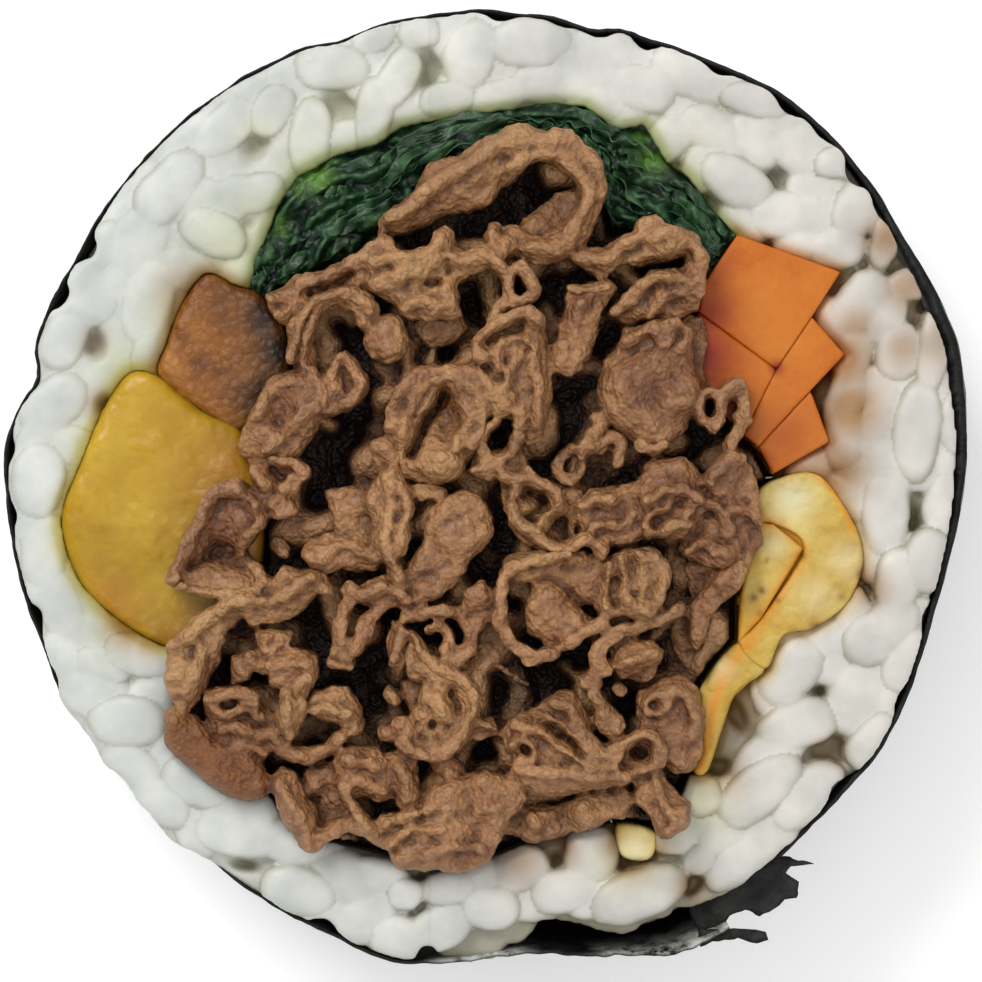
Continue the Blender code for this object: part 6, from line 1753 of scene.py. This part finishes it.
# Black hollows that no crumb fills: pixel, pixel and radius in pixels.
BEEF_HOLLOWS = [
    (540, 190, 26), (500, 210, 20), (470, 232, 14), (480, 300, 18), (550, 285, 18), (345, 335, 20),
    (335, 450, 32), (360, 430, 20), (350, 475, 22), (318, 500, 18), (416, 525, 8), (420, 560, 8),
    (500, 540, 16), (505, 520, 10), (470, 588, 12), (450, 600, 10), (500, 690, 22), (540, 668, 18),
    (490, 760, 20), (470, 650, 12), (360, 672, 22), (340, 690, 12), (560, 400, 18), (560, 430, 12),
    (608, 345, 11), (570, 385, 12), (680, 452, 16), (625, 478, 10), (680, 648, 16), (625, 706, 14),
    (640, 700, 10), (325, 612, 18), (515, 600, 10), (450, 350, 16), (392, 310, 8), (325, 768, 14),
    (430, 770, 12), (382, 700, 14), (395, 750, 8), (285, 575, 12), (300, 545, 10), (300, 722, 12),
    (640, 262, 8), (440, 720, 5), (236, 636, 14), (222, 668, 12), (256, 674, 10), (620, 330, 8),
    (374, 802, 8), (660, 668, 14), (594, 350, 8), (420, 340, 10),
]
# Slices that are redder or darker with sauce than the rest, and painted shade in two hollows at the left:
# pixel, pixel, radius, strength.
SAUCED_MEAT = [
    (655, 390, 44, 0.5), (236, 640, 14, 1.0), (222, 668, 12, 1.0),
    (215, 550, 46, 0.6), (205, 745, 50, 0.75), (240, 770, 40, 0.75), (240, 725, 34, 0.5),
    (690, 520, 60, 0.4), (668, 490, 30, 0.25), (645, 400, 44, 0.35), (670, 725, 40, 0.35),
    (480, 165, 50, 0.2), (300, 820, 34, 0.35), (180, 660, 30, 0.25), (460, 840, 40, 0.2),
    (236, 640, 26, 1.0), (222, 668, 20, 1.0), (560, 600, 26, 0.3), (700, 610, 34, 0.35),
]
# Slices that are paler than the rest, and a smooth glazed run: the same four values.
PALE_MEAT = [
    (205, 625, 30, 1.0), (235, 598, 26, 0.9), (186, 665, 24, 0.9), (520, 150, 60, 0.5),
    (430, 275, 56, 0.6), (440, 462, 34, 0.6), (392, 530, 34, 0.6), (530, 535, 44, 0.55),
    (500, 400, 30, 0.5), (645, 580, 26, 0.6), (440, 700, 34, 0.5), (505, 320, 34, 0.4),
    (640, 250, 40, 0.4), (300, 595, 34, 0.35), (298, 712, 24, 0.6), (600, 760, 44, 0.35),
    (180, 705, 12, 0.7), (395, 820, 26, 0.4), (640, 625, 34, 0.4), (340, 706, 22, 0.4),
]

GLAZED_MEAT = [(182, 728, 20, 1.0), (208, 752, 24, 1.0), (240, 774, 24, 1.0), (262, 784, 16, 0.9)]
MEAT_MOTTLE = {"Patch Scale": 300.0, "Grain Scale": 2600.0}
beef_finish, tree, shader = new_finish("beef", 0.38, 0.32)
grain_group = mottle_in(tree, MEAT_MOTTLE)
meat_colour = ramp(tree, grain_group.outputs["Patches"], [
    (0.28, srgb(104, 65, 39)), (0.45, srgb(140, 95, 61)), (0.62, srgb(168, 121, 80)),
    (0.80, srgb(196, 150, 102))])
# Sauce on some slices, and painted shade in two hollows at the left.
sauced = blend(tree, stored(tree, "sauced").outputs["Fac"], meat_colour, srgb(98, 51, 30))
pale = blend(tree, stored(tree, "pale").outputs["Fac"], sauced, srgb(192, 150, 96))
# Painted highlight on the crests of the slices, and painted shade in their creases.
crested = blend(tree, stored(tree, "crest").outputs["Fac"], pale, srgb(208, 168, 120))
glazed = blend(tree, stored(tree, "glaze").outputs["Fac"], crested, srgb(126, 78, 38))
creased = blend(tree, stored(tree, "crease").outputs["Fac"], glazed, srgb(66, 35, 20))
# Near-black painted shade on the low parts of the heap, deep between the slices.
dimmed = blend(tree, stored(tree, "low").outputs["Fac"], creased, srgb(26, 15, 12))
tree.links.new(dimmed, shader.inputs["Base Color"])
shader.inputs["Subsurface Weight"].default_value = 0.12
shader.inputs["Subsurface Radius"].default_value = (1.0, 0.45, 0.25)
shader.inputs["Subsurface Scale"].default_value = 0.4 * MM
shine = ramp(tree, stored(tree, "low").outputs["Fac"], [(0.0, (0.2, 0.2, 0.2, 1)), (0.6, (0, 0, 0, 1))])
tree.links.new(shine, shader.inputs["Coat Weight"])
shader.inputs["Coat Roughness"].default_value = 0.22
raise_surface(tree, shader, grain_group.outputs["Relief"], 0.24 * MM)

beef_edge = [plan(*point) for point in BEEF_OUTLINE]


def eased_line(points, steps=5):
    """Turn a spine in pixels into a smooth line in metres."""
    spine = [Vector((*plan(*point), 0)) for point in points]
    count = (len(spine) - 1) * steps
    return [curve_point(spine, index / count).to_2d() for index in range(count + 1)]


def lay_sheet(heights, x, y, top, rounding, tilt_right, tilt_up, outline):
    """Lay one flat slice over the heights, with a rounded and slightly lifted edge."""
    line = [plan(*point) for point in outline]
    spots = places_near(x, y, line, SHEET_SPREAD)
    _, _, inset = nearest_rim(line, x[spots], y[spots])
    inset = np.where(held_in(line, x[spots], y[spots]), inset, -inset) + SHEET_SPREAD
    spots = spots[inset > 0]
    inset = inset[inset > 0]
    middle = sum(line, Vector((0, 0))) / len(line)
    reach = max((point - middle).length for point in line)
    depth = 1 - np.clip(inset / (rounding * MM), 0, 1)
    level = top * MM - 0.75 * rounding * MM * (1 - np.sqrt(1 - depth * depth))
    level += (tilt_right * (x[spots] - middle.x) + tilt_up * (y[spots] - middle.y)) / reach * MM
    lifted = np.exp(-((inset - 0.55 * MM) / (0.3 * MM)) ** 2)
    heights[spots] = np.fmax(heights[spots], level + 0.08 * MM * lifted)


def lay_edge(heights, x, y, width, top, spine):
    """Lay one rolled edge, thread or bead over the heights, with a round back."""
    line = eased_line(spine)
    spots = places_near(x, y, line, width * MM)
    away = line_distance(line, x[spots], y[spots]) / (width / 2 * MM)
    spots = spots[away < 1]
    away = away[away < 1]
    level = top * MM - width / 2 * MM * (1 - np.sqrt(1 - away * away))
    heights[spots] = np.fmax(heights[spots], level)


# The heap stands out above this level, and it is raised from there by this much.
HEAP_BASE = 18 * MM
HEAP_SWELL = 1.2
# Slices that lie over the fillings reach down to their tops.
RESTING_LEVEL = 18.2 * MM


def beef_heights(x, y, sheets, edges):
    """Give the crumpled top of a group of slices, and no value where it has none."""
    flat = np.stack([x, y, np.zeros(len(x))], axis=1)
    bent_x = x + (0.34 * lattice_noise(flat, 2.1, 1) + 0.17 * lattice_noise(flat, 0.85, 2)) * MM
    bent_y = y + (0.34 * lattice_noise(flat, 2.1, 3) + 0.17 * lattice_noise(flat, 0.85, 4)) * MM
    heights = np.full(len(x), np.nan)
    for top, rounding, tilt_right, tilt_up, outline in sheets:
        lay_sheet(heights, bent_x, bent_y, top, rounding, tilt_right, tilt_up, outline)
    for width, top, spine in edges:
        lay_edge(heights, bent_x, bent_y, width, top, spine)
    for width, depth, spine in BEEF_CREASES:
        line = eased_line(spine)
        spots = places_near(x, y, line, 3 * width * MM)
        away = line_distance(line, bent_x[spots], bent_y[spots]) / (width * MM)
        heights[spots] -= depth * MM * np.exp(-away ** 2)
    crumple = 0.50 * lobed(flat, 2.4, 5) + 0.18 * lobed(flat, 1.15, 6)
    crumple += 0.10 * lattice_noise(flat, 0.6, 7)
    heights += (crumple - 0.3) * MM
    return np.where(heights > HEAP_BASE, HEAP_BASE + (heights - HEAP_BASE) * HEAP_SWELL, heights)


def beef_underside(x, y):
    """Give the level that slices reach down to: deep in the heap, or the fillings' tops."""
    return np.where(held_in(beef_edge, x, y), BEEF_FLOOR, RESTING_LEVEL)


def roughen(piece):
    """Give a knitted piece of meat its fine folds and its pebbled grain, and store its glaze, sauce, paler
    slices, painted shade in creases and low places, and painted highlights on crests.
    """
    places = averaged(piece, points_of(piece), 1)
    set_points(piece, places)
    cells = np.array([noise.voronoi(Vector(place) / MM * 1.9)[0][0] for place in places])
    glaze = spot_strength(places[:, 0], places[:, 1], GLAZED_MEAT)
    relief = 0.08 * lobed(places, 0.75, 11) + 0.06 * lattice_noise(places, 0.42, 12)
    relief = (relief + 0.10 * (0.42 - cells)) * (1 - 0.8 * glaze) - 0.04
    store_values(piece, "glaze", glaze)
    places += normals_of(piece) * (relief * MM)[:, None]
    set_points(piece, places)
    # Painted shade in the creases and painted highlight on the crests.
    store_values(piece, "crease", creased_share(piece, places, 0.06))
    store_values(piece, "crest", creased_share(piece, places, -0.10, -1) * 0.3)
    # Near-black painted shade, the deeper the lower a point lies; it paints the core near-black.
    level = places[:, 2]
    level = np.where(level > HEAP_BASE, HEAP_BASE + (level - HEAP_BASE) / HEAP_SWELL, level) / MM
    store_values(piece, "low", np.clip((19.9 - level) / 2.5, 0, 1) ** 1.1 * 0.97)
    x, y = places[:, 0], places[:, 1]
    # Sauce, and painted shade in two hollows at the left.
    store_values(piece, "sauced", spot_strength(x, y, SAUCED_MEAT))
    store_values(piece, "pale", spot_strength(x, y, PALE_MEAT) * 0.6)


# The heap is made in bands, by the rows of the photograph that its slices' middles lie in.
BEEF_BANDS = {
    "beef_top": (0, 320),
    "beef_upper": (320, 440),
    "beef_middle": (440, 560),
    "beef_lower": (560, 680),
    "beef_foot": (680, 1000),
}


def in_band(items, first_row, last_row):
    """List the slices or edges whose outline or spine, their last value, has its middle there."""
    return [item for item in items
            if first_row <= sum(y for _, y in item[-1]) / len(item[-1]) < last_row]


beef_pieces = []
for name, (first_row, last_row) in BEEF_BANDS.items():
    sheets = in_band(BEEF_SHEETS.values(), first_row, last_row)
    edges = in_band(BEEF_EDGES, first_row, last_row)
    rows = [y for item in sheets + edges for _, y in item[-1]]
    piece = heap(name, (150, 775), (min(rows) - 25, max(rows) + 25), BEEF_GRID, BEEF_VOXEL, beef_finish,
                 lambda x, y: beef_heights(x, y, sheets, edges), beef_underside)
    beef_pieces.append(piece)

# Small crumbs and ends of slices fill the hollows between the shown ones, lower down.
CRUMB_COUNT = 330
chance = random.Random(17)
filler_edges = []
while len(filler_edges) < CRUMB_COUNT:
    pixel_x = chance.uniform(175, 760)
    pixel_y = chance.uniform(140, 860)
    reach = chance.uniform(6, 30)
    heading = chance.uniform(0, 2 * math.pi)
    bend = chance.uniform(-0.9, 0.9)
    spine = [(pixel_x, pixel_y)]
    for step in (1, 2):
        heading += bend
        last_x, last_y = spine[-1]
        spine.append((last_x + reach * math.cos(heading), last_y + reach * math.sin(heading)))
    clear = all(math.hypot(x - hole_x, y - hole_y) > radius * 0.75
                for x, y in spine for hole_x, hole_y, radius in BEEF_HOLLOWS)
    ends = np.array([tuple(plan(*point)) for point in spine])
    inside = held_in(beef_edge, ends[:, 0], ends[:, 1]).all()
    if clear and inside:
        filler_edges.append((chance.uniform(0.8, 2.4), chance.uniform(17.4, 19.4), spine))


def crumb_heights(x, y):
    """Give the dim crumbs and folds that fill the whole heap below the shown slices."""
    flat = np.stack([x, y, np.zeros(len(x))], axis=1)
    base = 16.6 + 0.9 * lobed(flat, 1.8, 41) + 0.45 * lobed(flat, 0.85, 42)
    for pixel_x, pixel_y, radius in BEEF_HOLLOWS:
        place = plan(pixel_x, pixel_y)
        away = np.hypot(x - place.x, y - place.y) / (radius * PIXEL)
        base -= 1.2 * np.exp(-away ** 2)
    heights = np.fmax(base * MM, beef_heights(x, y, [], filler_edges))
    _, _, inset = nearest_rim(beef_edge, x, y)
    shown = held_in(beef_edge, x, y) & (inset > 0.3 * MM)
    return np.where(shown, heights, np.nan)


beef_crumbs = heap("beef_crumbs", (165, 770), (135, 870), CRUMB_GRID, None, beef_finish, crumb_heights,
                   flat_at(CRUMB_FLOOR))
relax(beef_crumbs, 2, np.full(len(beef_crumbs.data.vertices), 0.9))
# The core takes the near-black painted shade of the low places.
beef_core = prism("beef_core", beef_edge, 0.0, CORE_TOP, beef_finish)
knit(beef_core, CORE_VOXEL)
beef_pieces += [beef_crumbs, beef_core]

for piece in beef_pieces:
    roughen(piece)
    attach(piece, "root")
    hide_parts("beef")

# The board is plain and pale. A wide soft light hangs above, one at the upper left is the
# strongest, and a weak one at the lower right fills the shadows.
BOARD_GLOW = 0.16
BOARD_HALF_WIDTH = 1.5
AMBIENT = 0.52
floor_finish, tree, shader = new_finish("pale_board", 0.6, 0.2)
shader.inputs["Emission Strength"].default_value = BOARD_GLOW
shader.inputs["Emission Color"].default_value = srgb(250, 251, 250)
shader.inputs["Base Color"].default_value = (0.96, 0.965, 0.96, 1.0)
mesh = bmesh.new()
bmesh.ops.create_grid(mesh, x_segments=1, y_segments=1, size=BOARD_HALF_WIDTH)
board = object_from("board", mesh, floor_finish, smooth=False)


def soft_light(name, place, target, size, power):
    """Hang a square soft light that faces a target."""
    light = bpy.data.lights.new(name, "AREA")
    light.size = size
    light.energy = power
    lamp = bpy.data.objects.new(name, light)
    bpy.context.scene.collection.objects.link(lamp)
    lamp.location = place
    lamp.rotation_euler = (Vector(target) - Vector(place)).to_track_quat("-Z", "Y").to_euler()


soft_light("key_light", (-0.22, 0.30, 0.42), (0, 0, 0.015), 0.26, 1.9)
soft_light("fill_light", (0.26, -0.26, 0.40), (0, 0, 0.0), 0.5, 0.7)
soft_light("top_light", (0.0, 0.0, 0.75), (0, 0, 0), 0.6, 1.0)
world = bpy.data.worlds.new("studio")
world.use_nodes = True
sky = world.node_tree.nodes["Background"]
sky.inputs["Color"].default_value = (1.0, 1.0, 1.0, 1.0)
sky.inputs["Strength"].default_value = AMBIENT
bpy.context.scene.world = world

# The camera looks straight down, and its frame is the photograph's 982 by 982 pixels.
IMAGE_PIXELS = 982
LENS = 150.0
SENSOR = 36.0
SHOWN_LEVEL = 17.0 * MM
camera_data = bpy.data.cameras.new("camera")
camera_data.lens = LENS
camera_data.sensor_width = SENSOR
camera = bpy.data.objects.new("camera", camera_data)
bpy.context.scene.collection.objects.link(camera)
image_middle = plan(IMAGE_PIXELS / 2, IMAGE_PIXELS / 2)
distance = IMAGE_PIXELS * PIXEL * LENS / SENSOR
camera.location = (image_middle.x, image_middle.y, SHOWN_LEVEL + distance)
bpy.context.scene.camera = camera
bpy.context.scene.view_settings.view_transform = "Standard"
